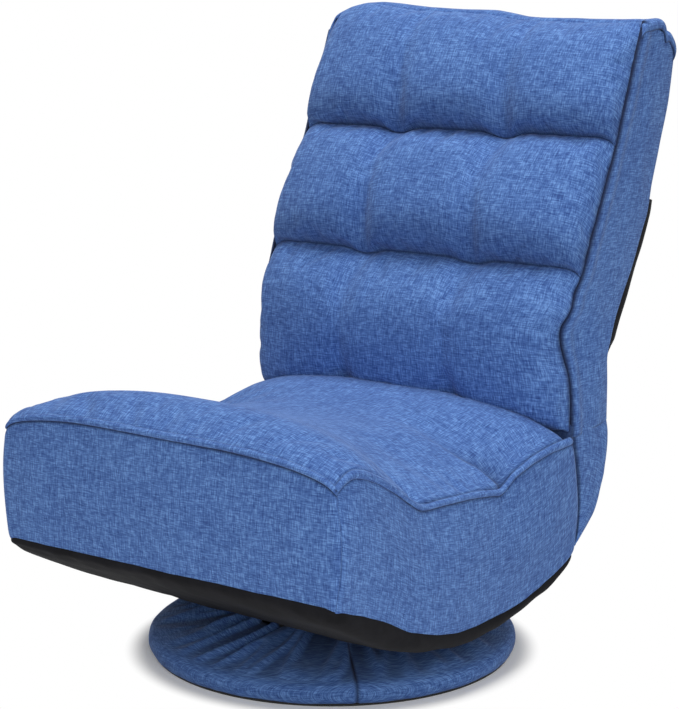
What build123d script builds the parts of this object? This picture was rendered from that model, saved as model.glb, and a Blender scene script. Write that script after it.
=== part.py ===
"""Swivel floor chair with a ratchet-reclining padded back, in millimetres.

Z is up and the floor is z = 0. The swivel axis is the Z axis and the chair faces -Y.
Side views are drawn with y to the right and z up, and pushed out along X.
"""

import os
from math import asin, atan2, cos, degrees, hypot, radians, sin, sqrt, tan

from build123d import *

# Base: tube hoop, cloth cover and foot ring
HOOP_RADIUS = 218.5          # centre line of the tube hoop
HOOP_TUBE = 22.0             # tube diameter
HOOP_HEIGHT = 15.8           # height of the hoop's centre line
COVER_THICKNESS = 1.5        # woven cover with its thin lining
COVER_CLEARANCE = 0.4        # cover to the steel beneath it
COVER_SLOPE = 12.0           # degrees the cover rises from hoop to hub
COVER_MOUTH = 112.0          # radius where the cover is gathered round the hub
FOOT_WIDTH = 13.0            # rubber ring
FOOT_HEIGHT = 2.7
SPOKE_WIDTH = 25.0
SPOKE_DEPTH = 12.0
HUB_PLATE_SIDE = 150.0
PLATE_THICKNESS = 4.0        # hub and swivel plates
HUB_TOP = 52.0               # height of the hub plate's top face

# Ball swivel
BALL_DIAMETER = 8.0
BALL_COUNT = 16
BALL_TRACK = 55.0            # radius of the ball circle
BALL_SINK = 1.0              # how far each ball sits in a plate
BALL_PLAY = 0.06
CAGE_WIDTH = 16.0
CAGE_THICKNESS = 1.6
RIVET_RADIUS = 10.0
RIVET_BORE = 6.0
RIVET_FLANGE = 13.0
RIVET_FLANGE_THICKNESS = 1.5
FLANGE_ROOM = 2.0            # hub and mount plates stay this far from the rivet's flanges
RUNNING_PLAY = 0.08          # radial play of every turning fit
BOLT_RADIUS = 3.0
BOLT_HOLE_PLAY = 0.3
BOLT_HEAD = 5.0
BOLT_HEAD_HEIGHT = 2.6
NUT_RADIUS = 5.6             # over the corners of the hexagon
NUT_HEIGHT = 5.0
LOWER_BOLTS = 50.0           # x and y of the bolts in the lower plate
UPPER_BOLTS = 62.0           # x and y of the bolts in the upper plate
MOUNT_PLATE_SIDE = 190.0
MOUNT_PLATE_THICKNESS = 7.0  # stiffening plate under the seat's cross bars

# Seat body, and the back's width beside it
SEAT_WIDTH = 510.0
BACK_WIDTH = 496.0
SEAT_FRONT = 313.0           # swivel axis to the front face
SEAT_REAR_BOTTOM = 165.0     # swivel axis to the end of the black underside
SEAT_REAR_TOP = 151.0        # swivel axis to the top of the side panel's rear edge
BELLY_HEIGHT = 66.0          # lowest point of the underside
FRONT_SWEEP = 653.0          # radius of the underside ahead of the swivel
REAR_SWEEP = 345.0           # radius of the underside behind it
HEM_RISE = 20.0              # underside to the lower hem of the blue panels
HEM_ROUND = 15.0             # rounding of the black tray's edges
CLOTH = 2.0                  # lined cloth
PANEL = 3.0                  # lightly padded side and front panels
SOFT_GAP = 0.4               # gap kept between neighbouring soft pieces
TRAY_MOUTH = 138.0           # radius of the hole for the swivel

# Seat cushion: heights over the floor at the sides, and how much the middle is crowned
CUSHION_REAR = 121.0         # swivel axis to the cushion's rear end
CREST_AT = 272.0             # front roll's crest, ahead of the swivel axis
SHOULDER_AT = 205.0
DISH_AT = 50.0
SIDE_SEAM = 303.0
SIDE_CREST = 312.0
SIDE_SHOULDER = 273.0
SIDE_DISH = 244.0
SIDE_REAR = 272.0
SEAM_CROWN = 23.0
CREST_CROWN = 45.0
SHOULDER_CROWN = 65.0
DISH_CROWN = 55.0
REAR_CROWN = 38.0
CUSHION_EDGE = 40.0          # cushion depth at its side seam
CROWN_POWER = 3.0            # how squarely the crown falls away to the sides

# Bent tube frames
TUBE = 22.0
TUBE_WALL = 1.6
RAIL_INSET = 33.0            # side of the narrower cover to the tube's centre line
RAIL_SPACING = min(SEAT_WIDTH, BACK_WIDTH) - 2 * RAIL_INSET
RAIL_FLOOR = 91.0            # height of the rails' level stretch
RAIL_FRONT = 289.0           # swivel axis to the front cross tube
RAIL_FRONT_HEIGHT = 161.0
RAIL_LEVEL_FRONT = 80.0      # level stretch ahead of the swivel axis, and behind it
RAIL_LEVEL_REAR = 60.0
RAIL_KNEE_AHEAD = 40.0       # knee and open end of the rails, ahead of and below the hinge
RAIL_KNEE_BELOW = 122.0
RAIL_END_AHEAD = 11.0
RAIL_END_BELOW = 60.0
RAIL_CORNER = 50.0           # bend radius of the front corners
RAIL_FRONT_BEND = 300.0
RAIL_REAR_BEND = 200.0
RAIL_HINGE_BEND = 55.0
CROSS_BAR = 20.0             # square bar
CROSS_BAR_SPACING = 80.0
WELD_GAP = 0.2

# Back: the front seam runs up from the hinge in four straight stretches
BACK_START_Y = 164.0         # foot of the front seam
BACK_START_Z = 283.0
LUMBAR_RISE = 129.0          # length and lean of each stretch
LUMBAR_LEAN = -2.0
LOWER_RISE = 71.0
LOWER_LEAN = 21.0
MIDDLE_RISE = 157.0
MIDDLE_LEAN = 25.6
UPPER_RISE = 169.0
UPPER_LEAN = 21.1
FOOT_DEPTH = 78.0            # thickness of the back at each corner of its seam
FOOT_FALL = 2.0              # how much lower the boxing's foot ends at the rear
LUMBAR_DEPTH = 73.0
UPPER_DEPTH = 106.0
TOP_DEPTH = 87.0
TOP_CROWN = 12.0             # swell of the top panel's middle
ROLL_DEPTH = 20.0            # front seam to the back of the rolls
ROLL_BULGE = 45.0            # crown of the upper two rolls
ROLL_FULLEST = 0.36          # their crest, as a share of the way up from the lower stitches
LUMBAR_BULGE = 33.0
CHANNEL_GAP = 2.0            # between two rolls
TUFT_SPACING = 170.0         # between the two sewn tufts of a channel
TUFT_PINCH = 0.18            # share of the crown that a tuft draws in
ROLL_POWER = 6.0             # how squarely a roll falls away to the sides
ROLL_EDGE = 0.88             # share of the crown that is gone at the side seam
DUST_STAND = 32.0            # black rear cloth stands off the hollow of the boxing
DUST_HEM = 0.14              # its upper hem, as a share of the way down the hollow
BACK_FRAME_INSET = 15.0      # rear face to the centre of the back tube
BACK_FRAME_DROP = 24.0       # top rear corner down to the top cross tube
BACK_FRAME_LIFT = 12.0       # foot of the back up to the tube's open end
BACK_FRAME_BEND = 80.0
BACK_FRAME_CORNER = 65.0

# Soft gusset round the hinge
GUSSET_DROP = 8.0            # its upper hem below the foot of the back
GUSSET_BULGE_BEHIND = 34.0   # its fullest point behind and below the hinge axis
GUSSET_BULGE_BELOW = 60.0
GUSSET_OPENING = 12.0        # overrun of the cut that opens its front and its top

# Ratchet hinge
HINGE_Y = 194.0
HINGE_Z = 250.0
CHEEK_RADIUS = 38.0
CHEEK_THICKNESS = 2.5
CHEEK_PLAY = 0.4             # cheek plate to the tube between the two
CHEEK_TAB = 14.0             # radius of the end that is welded to the rail
CHEEK_RIM = 3.0              # cheek plate round the pawl's boss
RATCHET_RADIUS = 32.0
RATCHET_THICKNESS = 5.0
TOOTH_PITCH = 8.0            # degrees
TOOTH_DEPTH = 3.6
TOOTH_HALF_ANGLE = 25.0
TOOTH_COUNT = 14
HINGE_PIN = 6.0
HINGE_PIN_HEAD = 9.0
SPACER_WALL = 4.0
HEAD_THICKNESS = 2.0
PAWL_REACH = 35.0            # pawl pin to its tooth
PAWL_DROP = 31.4             # pawl pin below the hinge axis
PAWL_BOSS = 7.0
PAWL_NOSE = 3.5
PAWL_PIN = 3.5
PAWL_PIN_HEAD = 6.0
BOSS_STEP = 1.0              # the boss is this much smaller than the arm's round end
PAWL_LIFT = 8.0              # degrees between released and engaged
PAWL_PLAY = 0.35             # tooth to notch
SPRING_LEAF = 0.7
SPRING_PIN = 2.5
TONGUE_LENGTH = 24.0         # arm of the ratchet plate inside the back tube
ARM_FRONT_AHEAD = 12.0       # where the arm's two edges leave the ratchet's disc
ARM_FRONT_ABOVE = 12.0
ARM_REAR_BEHIND = 24.0
ARM_REAR_BELOW = 6.0
HINGE_ROOM = 44.0            # soft back pieces stay this far from the hinge axis

half_seat = SEAT_WIDTH / 2
half_back = BACK_WIDTH / 2
rail_x = RAIL_SPACING / 2
tube_radius = TUBE / 2
hinge = (HINGE_Y, HINGE_Z)
sides = (1, -1)


def side_slab(face, x_low, x_high):
    """Push a side view out along X."""
    return extrude(Plane.YZ.offset(x_low) * face, amount=x_high - x_low)


def side_bar(center, radius, x_low, x_high):
    """Round bar along X through a point of the side view."""
    return side_slab(Pos(*center) * Circle(radius), x_low, x_high)


def upright(radius, z_low, z_high, x=0, y=0):
    """Round bar along Z."""
    return extrude(Pos(x, y, z_low) * Circle(radius), amount=z_high - z_low)


def plate(side, z_low, z_high, bore):
    """Square plate with a round bore."""
    blank = extrude(Pos(0, 0, z_low) * Rectangle(side, side), amount=z_high - z_low)
    return blank - upright(bore, z_low - 1, z_high + 1)


def corners(distance):
    """The four corner places of a square bolt pattern."""
    return [(x * distance, y * distance) for x in sides for y in sides]


def both_sides(make):
    """One solid for each side of the chair, as one group."""
    return Compound(children=[make(side) for side in sides])


def span(side, x_low, x_high):
    """A pair of x limits, mirrored for the left side."""
    return (x_low, x_high) if side > 0 else (-x_high, -x_low)


def moved(point, way, distance):
    """A point moved along a direction."""
    return (point[0] + way[0] * distance, point[1] + way[1] * distance)


def direction(a, b):
    """Unit step from one point towards another."""
    run = hypot(b[0] - a[0], b[1] - a[1])
    return ((b[0] - a[0]) / run, (b[1] - a[1]) / run)


def part_way(a, b, share):
    """The point at a share of the way from one point to another."""
    return (a[0] + share * (b[0] - a[0]), a[1] + share * (b[1] - a[1]))


def halfway(a, b):
    """The point in the middle of two."""
    return part_way(a, b, 0.5)


def parallel(points, distance):
    """A line through corners, moved to the left of its direction."""
    shifted = []
    for index, (y, z) in enumerate(points):
        headings = []
        for a, b in zip(points[max(index - 1, 0):], points[max(index - 1, 0) + 1:index + 2]):
            headings.append(atan2(b[1] - a[1], b[0] - a[0]))
        heading = sum(headings) / len(headings)
        stretch = distance / cos((headings[-1] - headings[0]) / 2)
        shifted.append((y - stretch * sin(heading), z + stretch * cos(heading)))
    return shifted


def bend_radii(points, radii, distance):
    """Bend radii of a line moved by that distance: inner bends tighten, outer ones open."""
    shifted = []
    for a, b, c, radius in zip(points, points[1:], points[2:], radii):
        turn = (b[0] - a[0]) * (c[1] - b[1]) - (b[1] - a[1]) * (c[0] - b[0])
        shifted.append(radius - distance if turn > 0 else radius + distance)
    return shifted


def bent_line(points, radii, distance):
    """The bent line that runs beside a bent tube's centre line."""
    return FilletPolyline(*parallel(points, distance), radius=bend_radii(points, radii, distance))


def band(points, radii, near, far):
    """Side view of a sheet that follows a bent tube between two distances."""
    first = bent_line(points, radii, near)
    second = bent_line(points, radii, far)
    ends = [Line(first @ 0, second @ 0), Line(first @ 1, second @ 1)]
    return make_face(first.edges() + second.edges() + ends)


def export(node, shape):
    os.makedirs("parts", exist_ok=True)
    export_step(shape, f"parts/{node}.step")


# Base hoop, cover and feet
hoop_tube_radius = HOOP_TUBE / 2
hoop = Pos(0, 0, HOOP_HEIGHT) * Torus(HOOP_RADIUS, hoop_tube_radius)
export("base_ring", hoop)

slope = radians(COVER_SLOPE)
cover_inner = hoop_tube_radius + COVER_CLEARANCE
cover_outer = cover_inner + COVER_THICKNESS
hoop_point = Vector(HOOP_RADIUS, HOOP_HEIGHT)


def cover_point(radius, degrees_up):
    """Point round the hoop's centre line, in radius and height."""
    angle = radians(degrees_up)
    return hoop_point + Vector(radius * cos(angle), radius * sin(angle))


def cover_height(radius, offset):
    """Height of the sloping cloth over a radius from the swivel axis."""
    start = cover_point(offset, 90 - COVER_SLOPE)
    return start.Y + (start.X - radius) * tan(slope)


def cover_side(offset):
    """One face of the cover, from its lower hem round the hoop to the hub."""
    lean = 90 - COVER_SLOPE
    stops = [cover_point(offset, angle) for angle in (-90, lean / 2 - 45, lean)]
    mouth = Vector(COVER_MOUTH, cover_height(COVER_MOUTH, offset))
    return [ThreePointArc(*stops), Line(stops[-1], mouth)]


cover_edges = cover_side(cover_inner) + cover_side(cover_outer)
cover_edges.append(Line(cover_edges[0] @ 0, cover_edges[2] @ 0))
cover_edges.append(Line(cover_edges[1] @ 1, cover_edges[3] @ 1))
export("base_cover", revolve(Plane.XZ * make_face(cover_edges), axis=Axis.Z))

cloth_low = HOOP_HEIGHT - cover_outer
export("base_bottom_cloth", upright(HOOP_RADIUS - SOFT_GAP, cloth_low, cloth_low + COVER_THICKNESS))

foot = upright(HOOP_RADIUS + FOOT_WIDTH / 2, 0, FOOT_HEIGHT)
foot -= upright(HOOP_RADIUS - FOOT_WIDTH / 2, -1, FOOT_HEIGHT + 1)
export("base_foot_ring", foot)

# Cross of bent bars, cut to meet the hoop
hub_bottom = HUB_TOP - PLATE_THICKNESS
steel_under_cover = cover_inner - COVER_CLEARANCE
knee = COVER_MOUTH + (cover_height(COVER_MOUTH, steel_under_cover) - hub_bottom) / tan(slope)
spoke_end_top = cover_height(HOOP_RADIUS, steel_under_cover)
spoke_right = [(knee, hub_bottom), (HOOP_RADIUS, spoke_end_top)]
spoke_top = [(-r, z) for r, z in reversed(spoke_right)] + spoke_right
spoke_low = [(r, z - SPOKE_DEPTH) for r, z in reversed(spoke_top)]
spoke_face = Plane.XZ * make_face(Polyline(*spoke_top, *spoke_low, close=True))
spoke = extrude(spoke_face, amount=SPOKE_WIDTH / 2, both=True)
cross = spoke + Rot(0, 0, 90) * spoke
cross -= Pos(0, 0, HOOP_HEIGHT) * Torus(HOOP_RADIUS, hoop_tube_radius + WELD_GAP)
inside = upright(HOOP_RADIUS - hoop_tube_radius / 2, 0, HUB_TOP)
export("base_spokes", cross & inside)

# Ball swivel
ball_radius = BALL_DIAMETER / 2
lower_top = HUB_TOP + PLATE_THICKNESS
ball_height = lower_top + ball_radius - BALL_SINK
upper_bottom = ball_height + ball_radius - BALL_SINK
upper_top = upper_bottom + PLATE_THICKNESS
mount_top = upper_top + MOUNT_PLATE_THICKNESS
track = Pos(0, 0, ball_height) * Torus(BALL_TRACK, ball_radius + BALL_PLAY)
flange_hole = RIVET_FLANGE + FLANGE_ROOM


def drilled(blank, distance):
    """Plate with its four bolt holes."""
    for x, y in corners(distance):
        blank -= upright(BOLT_RADIUS + BOLT_HOLE_PLAY, 0, mount_top + 1, x, y)
    return blank


pivot_bore = RIVET_RADIUS + RUNNING_PLAY
hub_plate = plate(HUB_PLATE_SIDE, hub_bottom, HUB_TOP, flange_hole)
export("base_hub_plate", drilled(hub_plate, LOWER_BOLTS))
lower_plate = plate(HUB_PLATE_SIDE, HUB_TOP, lower_top, pivot_bore) - track
export("swivel_lower_plate", drilled(lower_plate, LOWER_BOLTS))
upper_plate = plate(HUB_PLATE_SIDE, upper_bottom, upper_top, pivot_bore) - track
export("swivel_upper_plate", drilled(upper_plate, UPPER_BOLTS))
mount_plate = plate(MOUNT_PLATE_SIDE, upper_top, mount_top, flange_hole)
export("seat_mount_plate", drilled(mount_plate, UPPER_BOLTS))

rivet_top = upper_top + RUNNING_PLAY
rivet = upright(RIVET_RADIUS, HUB_TOP, rivet_top)
rivet += upright(RIVET_FLANGE, HUB_TOP - RIVET_FLANGE_THICKNESS, HUB_TOP)
rivet += upright(RIVET_FLANGE, rivet_top, rivet_top + RIVET_FLANGE_THICKNESS)
rivet -= upright(RIVET_BORE, 0, mount_top)
export("swivel_rivet", rivet)

ball_places = PolarLocations(BALL_TRACK, BALL_COUNT)
balls = [Pos(0, 0, ball_height) * place * Sphere(ball_radius) for place in ball_places]
export("swivel_balls", Compound(children=balls))
half_cage = CAGE_THICKNESS / 2
cage = upright(BALL_TRACK + CAGE_WIDTH / 2, ball_height - half_cage, ball_height + half_cage)
cage -= upright(BALL_TRACK - CAGE_WIDTH / 2, 0, mount_top)
for place in ball_places:
    cage -= place * upright(ball_radius + 2 * BALL_PLAY, 0, mount_top)
export("swivel_ball_cage", cage)


def bolt(x, y, head_at, head_direction, nut_at):
    """Bolt and nut as one piece: a low round head, the shank and a hexagon nut."""
    head_end = head_at + head_direction * BOLT_HEAD_HEIGHT
    nut_end = nut_at - head_direction * NUT_HEIGHT
    body = upright(BOLT_RADIUS, min(head_end, nut_end), max(head_end, nut_end), x, y)
    body += upright(BOLT_HEAD, min(head_at, head_end), max(head_at, head_end), x, y)
    nut = Pos(x, y, min(nut_at, nut_end)) * RegularPolygon(NUT_RADIUS, 6)
    return body + extrude(nut, amount=NUT_HEIGHT)


base_bolts = [bolt(x, y, lower_top, 1, hub_bottom) for x, y in corners(LOWER_BOLTS)]
export("base_bolts", Compound(children=base_bolts))
seat_bolts = [bolt(x, y, upper_bottom, -1, mount_top) for x, y in corners(UPPER_BOLTS)]
export("seat_bolts", Compound(children=seat_bolts))


# Seat shell: black tray below, blue panels round it
def belly_height(y, lift):
    """Height of the underside's two sweeps, or of a line inside them."""
    sweep = FRONT_SWEEP if y < 0 else REAR_SWEEP
    return BELLY_HEIGHT + sweep - sqrt((sweep - lift) ** 2 - y ** 2)


def belly_arcs(y_front, y_rear, lift):
    """The two sweeps from front to rear."""
    arcs = []
    for start, stop in ((y_front, 0), (0, y_rear)):
        stops = [(y, belly_height(y, lift)) for y in (start, (start + stop) / 2, stop)]
        arcs.append(ThreePointArc(*stops))
    return arcs


def belly_band(y_front, y_rear, low, high):
    """Side view between two lines of the underside."""
    edges = belly_arcs(y_front, y_rear, low) + belly_arcs(y_front, y_rear, high)
    edges.append(Line(edges[0] @ 0, edges[2] @ 0))
    edges.append(Line(edges[1] @ 1, edges[3] @ 1))
    return make_face(edges)


def tray(inset, high, rear):
    """Rounded tray under the seat, or the room inside it."""
    front = inset - SEAT_FRONT
    half = half_seat - SOFT_GAP - inset
    body = side_slab(belly_band(front, rear, inset, high), -half, half)
    rounded = []
    for edge in body.edges():
        middle = edge @ 0.5
        low_edge = abs(middle.Z - belly_height(middle.Y, inset)) < 1
        at_side = abs(abs(middle.X) - half) < 1
        at_front = abs(middle.Y - front) < 1
        if low_edge and at_side != at_front:
            rounded.append(edge)
    return fillet(rounded, HEM_ROUND - inset)


bottom_cover = tray(0, HEM_RISE, SEAT_REAR_BOTTOM)
bottom_cover -= tray(CLOTH, HEM_RISE + 5, SEAT_REAR_BOTTOM + 5)
bottom_cover -= upright(TRAY_MOUTH, 0, HEM_RISE + BELLY_HEIGHT)
export("seat_bottom_cover", bottom_cover)


def seat_top(crown, drop, y_rear):
    """Top line of the seat: front roll, dish and rear, with a share of the crown."""
    front = PANEL + SOFT_GAP - SEAT_FRONT
    seam = (front, SIDE_SEAM + crown * SEAM_CROWN - drop)
    crest = (-CREST_AT, SIDE_CREST + crown * CREST_CROWN - drop)
    shoulder = (-SHOULDER_AT, SIDE_SHOULDER + crown * SHOULDER_CROWN - drop)
    dish = (-DISH_AT, SIDE_DISH + crown * DISH_CROWN - drop)
    rear = (y_rear, SIDE_REAR + crown * REAR_CROWN - drop)
    return [ThreePointArc(seam, crest, shoulder), ThreePointArc(shoulder, dish, rear)]


def closed_between(upper, lower):
    """Face between two lines that both run front to rear."""
    ends = [Line(upper[0] @ 0, lower[0] @ 0), Line(upper[-1] @ 1, lower[-1] @ 1)]
    return make_face(upper + lower + ends)


panel_rear = SEAT_REAR_BOTTOM - SOFT_GAP
panel_face = closed_between(
    seat_top(0, 0, SEAT_REAR_TOP),
    belly_arcs(PANEL + SOFT_GAP - SEAT_FRONT, panel_rear, HEM_RISE + SOFT_GAP),
)
for node, side in (("seat_side_panel_left", -1), ("seat_side_panel_right", 1)):
    export(node, side_slab(panel_face, *span(side, half_seat - PANEL, half_seat)))

front_low = belly_height(-SEAT_FRONT, HEM_RISE) + SOFT_GAP
front_edges = [
    Line((-half_seat, SIDE_SEAM), (-half_seat, front_low)),
    Line((-half_seat, front_low), (half_seat, front_low)),
    Line((half_seat, front_low), (half_seat, SIDE_SEAM)),
    ThreePointArc((half_seat, SIDE_SEAM), (0, SIDE_SEAM + SEAM_CROWN), (-half_seat, SIDE_SEAM)),
]
front_plane = Plane((0, PANEL - SEAT_FRONT, 0), x_dir=(1, 0, 0), z_dir=(0, -1, 0))
export("seat_front_panel", extrude(front_plane * make_face(front_edges), amount=PANEL))

# Seat cushion: one crowned, dished pad lofted from side to side
cushion_half = half_seat - PANEL - SOFT_GAP


def cushion_section(share):
    """Side view of the cushion at a share of its half width."""
    x = share * cushion_half
    crown = 1 - abs(share) ** CROWN_POWER
    face = closed_between(seat_top(crown, 0, CUSHION_REAR), seat_top(0, CUSHION_EDGE, CUSHION_REAR))
    return Plane.YZ.offset(x) * face


cushion_shares = (-1, -0.9, -0.72, -0.42, 0, 0.42, 0.72, 0.9, 1)
export("seat_cushion", loft([cushion_section(share) for share in cushion_shares]))

# Seat frame: one bent tube, the sling over it and the foam on the sling
rail_points = [
    (-RAIL_FRONT, RAIL_FRONT_HEIGHT),
    (-RAIL_LEVEL_FRONT, RAIL_FLOOR),
    (RAIL_LEVEL_REAR, RAIL_FLOOR),
    (HINGE_Y - RAIL_KNEE_AHEAD, HINGE_Z - RAIL_KNEE_BELOW),
    (HINGE_Y - RAIL_END_AHEAD, HINGE_Z - RAIL_END_BELOW),
]
rail_bends = [RAIL_FRONT_BEND, RAIL_REAR_BEND, RAIL_HINGE_BEND]


def bent_tube(points, bends, corner):
    """A tube that runs down one side, across and back up the other side."""
    right = [(rail_x, y, z) for y, z in reversed(points)]
    left = [(-rail_x, y, z) for y, z in points]
    radii = [*reversed(bends), corner, corner, *bends]
    path = FilletPolyline(*right, *left, radius=radii)
    start = Plane(path @ 0, z_dir=path % 0)
    ring = Circle(tube_radius) - Circle(tube_radius - TUBE_WALL)
    return sweep(start * ring, path=path)


seat_frame = bent_tube(rail_points, rail_bends, RAIL_CORNER)
export("seat_frame", seat_frame)

bar_length = RAIL_SPACING - TUBE - 2 * WELD_GAP
bar_middle = mount_top + CROSS_BAR / 2
cross_bars = []
for y in (-CROSS_BAR_SPACING / 2, CROSS_BAR_SPACING / 2):
    cross_bars.append(Pos(0, y, bar_middle) * Box(bar_length, CROSS_BAR, CROSS_BAR))
export("seat_cross_bars", Compound(children=cross_bars))

sling_low = tube_radius + WELD_GAP
sling_high = sling_low + CLOTH
sling_half = rail_x + tube_radius
sling_points = [*rail_points[:3], halfway(rail_points[3], halfway(rail_points[2], rail_points[3]))]
sling_bends = rail_bends[:2]
seat_sling = band(sling_points, sling_bends, sling_low, sling_high)
export("seat_sling", side_slab(seat_sling, -sling_half, sling_half))

foam_top = seat_top(0, CUSHION_EDGE + SOFT_GAP, CUSHION_REAR)
foam_low = bent_line(sling_points, sling_bends, sling_high + SOFT_GAP)
foam_face = closed_between(foam_top, list(foam_low.edges()))
export("seat_foam", side_slab(foam_face, -cushion_half, cushion_half))


# Soft gusset round the hinge
def gusset_face(inset, overrun):
    """Side view of the gusset, or of the room inside it."""
    ahead = SOFT_GAP - overrun
    top = BACK_START_Z - GUSSET_DROP + overrun
    low = (SEAT_REAR_BOTTOM + ahead, belly_height(SEAT_REAR_BOTTOM, inset))
    hem = (SEAT_REAR_BOTTOM + ahead, belly_height(SEAT_REAR_BOTTOM, HEM_RISE))
    high = (SEAT_REAR_TOP + ahead, SIDE_REAR)
    rear_high = (BACK_START_Y + FOOT_DEPTH - inset, top)
    bulge = (HINGE_Y + GUSSET_BULGE_BEHIND - inset, HINGE_Z - GUSSET_BULGE_BELOW + inset)
    front = Polyline(rear_high, (high[0], top), high, hem, low)
    return make_face(front.edges() + [ThreePointArc(low, bulge, rear_high)])


gusset_half = half_seat - SOFT_GAP
gusset = side_slab(gusset_face(0, 0), -gusset_half, gusset_half)
gusset -= side_slab(gusset_face(CLOTH, GUSSET_OPENING), CLOTH - gusset_half, gusset_half - CLOTH)
export("rear_gusset", gusset)

# Back: corner points of its front seam and of its rear face
stretches = [
    (LUMBAR_RISE, LUMBAR_LEAN),
    (LOWER_RISE, LOWER_LEAN),
    (MIDDLE_RISE, MIDDLE_LEAN),
    (UPPER_RISE, UPPER_LEAN),
]
seam = [(BACK_START_Y, BACK_START_Z)]
for rise, lean in stretches:
    y, z = seam[-1]
    seam.append((y + rise * sin(radians(lean)), z + rise * cos(radians(lean))))
seam_foot, seam_lumbar, seam_lower, seam_upper, seam_top = seam


def behind(point, distance, lean):
    """A point square behind a stretch of the seam that leans so."""
    return (point[0] + distance * cos(radians(lean)), point[1] - distance * sin(radians(lean)))


rear_top = behind(seam_top, TOP_DEPTH, UPPER_LEAN)
rear_upper = behind(seam_upper, UPPER_DEPTH, (UPPER_LEAN + MIDDLE_LEAN) / 2)
rear_lumbar = behind(seam_lumbar, LUMBAR_DEPTH, (LUMBAR_LEAN + LOWER_LEAN) / 2)
rear_foot = (BACK_START_Y + FOOT_DEPTH, BACK_START_Z - FOOT_FALL)
rear_line = [rear_foot, rear_lumbar, rear_upper, rear_top]
boxing = make_face(Polyline(*seam, *reversed(rear_line), close=True))
for node, side in (("back_side_panel_left", -1), ("back_side_panel_right", 1)):
    export(node, side_slab(boxing, *span(side, half_back - PANEL, half_back)))

inner_half = half_back - PANEL - SOFT_GAP
hinge_room = side_bar(hinge, HINGE_ROOM, -half_back, half_back)


# Back rolls: crowned pads, drawn in at the sides and at the sewn tufts
roll_line = [seam_foot, seam_lower, seam_upper, seam_top]
roll_rear = parallel(roll_line, -ROLL_DEPTH)
tuft = TUFT_SPACING / 2 / inner_half
beside_tuft = (tuft + ROLL_EDGE) / 2
roll_shares = (-1, -ROLL_EDGE, -beside_tuft, -tuft, 0, tuft, beside_tuft, ROLL_EDGE, 1)


def arched_front(start, stop, crest_foot, height):
    """Front of the lower roll: one arc over the lumbar support."""
    along = direction(start, stop)
    return [ThreePointArc(start, moved(crest_foot, (-along[1], along[0]), height), stop)]


def hanging_front(start, stop, crest_foot, height):
    """Front of an upper roll: two quarter ellipses, the lower one short, so the roll hangs."""
    tilt = degrees(atan2(stop[1] - start[1], stop[0] - start[0]))
    below = hypot(crest_foot[0] - start[0], crest_foot[1] - start[1])
    above = hypot(stop[0] - crest_foot[0], stop[1] - crest_foot[1])
    return [
        EllipticalCenterArc(crest_foot, below, height, start_angle=90, arc_size=90, rotation=tilt),
        EllipticalCenterArc(crest_foot, above, height, start_angle=0, arc_size=90, rotation=tilt),
    ]


def roll(index, crest_foot, crown, front):
    """One roll between two corners of the roll line, lofted from side to side."""
    low, high = roll_line[index], roll_line[index + 1]
    along = direction(low, high)
    half_gap = CHANNEL_GAP / 2
    start = moved(low, along, half_gap)
    stop = moved(high, along, -half_gap)
    rear_start = moved(roll_rear[index], along, half_gap)
    rear_stop = moved(roll_rear[index + 1], along, -half_gap)
    sections = []
    for share in roll_shares:
        swell = 1 - ROLL_EDGE * abs(share) ** ROLL_POWER
        if abs(share) == tuft:
            swell *= 1 - TUFT_PINCH
        outline = [
            *front(start, stop, crest_foot, swell * crown),
            Line(stop, rear_stop),
            Line(rear_stop, rear_start),
            Line(rear_start, start),
        ]
        sections.append(Plane.YZ.offset(share * inner_half) * make_face(outline))
    return loft(sections)


upper_crest = part_way(seam_upper, seam_top, ROLL_FULLEST)
middle_crest = part_way(seam_lower, seam_upper, ROLL_FULLEST)
export("back_roll_upper", roll(2, upper_crest, ROLL_BULGE, hanging_front))
export("back_roll_middle", roll(1, middle_crest, ROLL_BULGE, hanging_front))
export("back_roll_lower", roll(0, seam_lumbar, LUMBAR_BULGE, arched_front) - hinge_room)

# Cloth on the top and the rear of the back
top_up = (sin(radians(UPPER_LEAN)), cos(radians(UPPER_LEAN)))
top_plane = Plane((0, *seam_top), x_dir=(-1, 0, 0), z_dir=(0, top_up[1], -top_up[0]))
top_edges = [
    ThreePointArc((-half_back, PANEL), (0, PANEL + TOP_CROWN), (half_back, PANEL)),
    Line((half_back, PANEL), (half_back, 0)),
    Line((half_back, 0), (-half_back, 0)),
    Line((-half_back, 0), (-half_back, PANEL)),
]
export("back_top_panel", extrude(top_plane * make_face(top_edges), amount=TOP_DEPTH))


def strip(points, near, far):
    """Side view of a sheet along straight stretches."""
    return make_face(Polyline(*parallel(points, near), *reversed(parallel(points, far)), close=True))


dust_hem = part_way(rear_upper, rear_lumbar, DUST_HEM)
rear_panel = strip([dust_hem, rear_upper, rear_top], 0, CLOTH)
export("back_rear_panel", side_slab(rear_panel, -inner_half, inner_half))

dust_bend = behind(seam_lumbar, LUMBAR_DEPTH + DUST_STAND, (LUMBAR_LEAN + LOWER_LEAN) / 2)
dust_line = [rear_foot, dust_bend, dust_hem]
dust_room = parallel(dust_line, CLOTH)
dust_face = make_face(Polyline(*dust_line, rear_lumbar, close=True))
dust_cover = side_slab(dust_face, -inner_half, inner_half)
room_front = [moved(dust_room[2], (-1, 0.4), TUBE), moved(dust_room[0], (-1, -0.4), TUBE)]
room_face = make_face(Polyline(*dust_room, *room_front, close=True))
dust_cover -= side_slab(room_face, CLOTH - inner_half, inner_half - CLOTH)
export("back_dust_cover", dust_cover)

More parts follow.
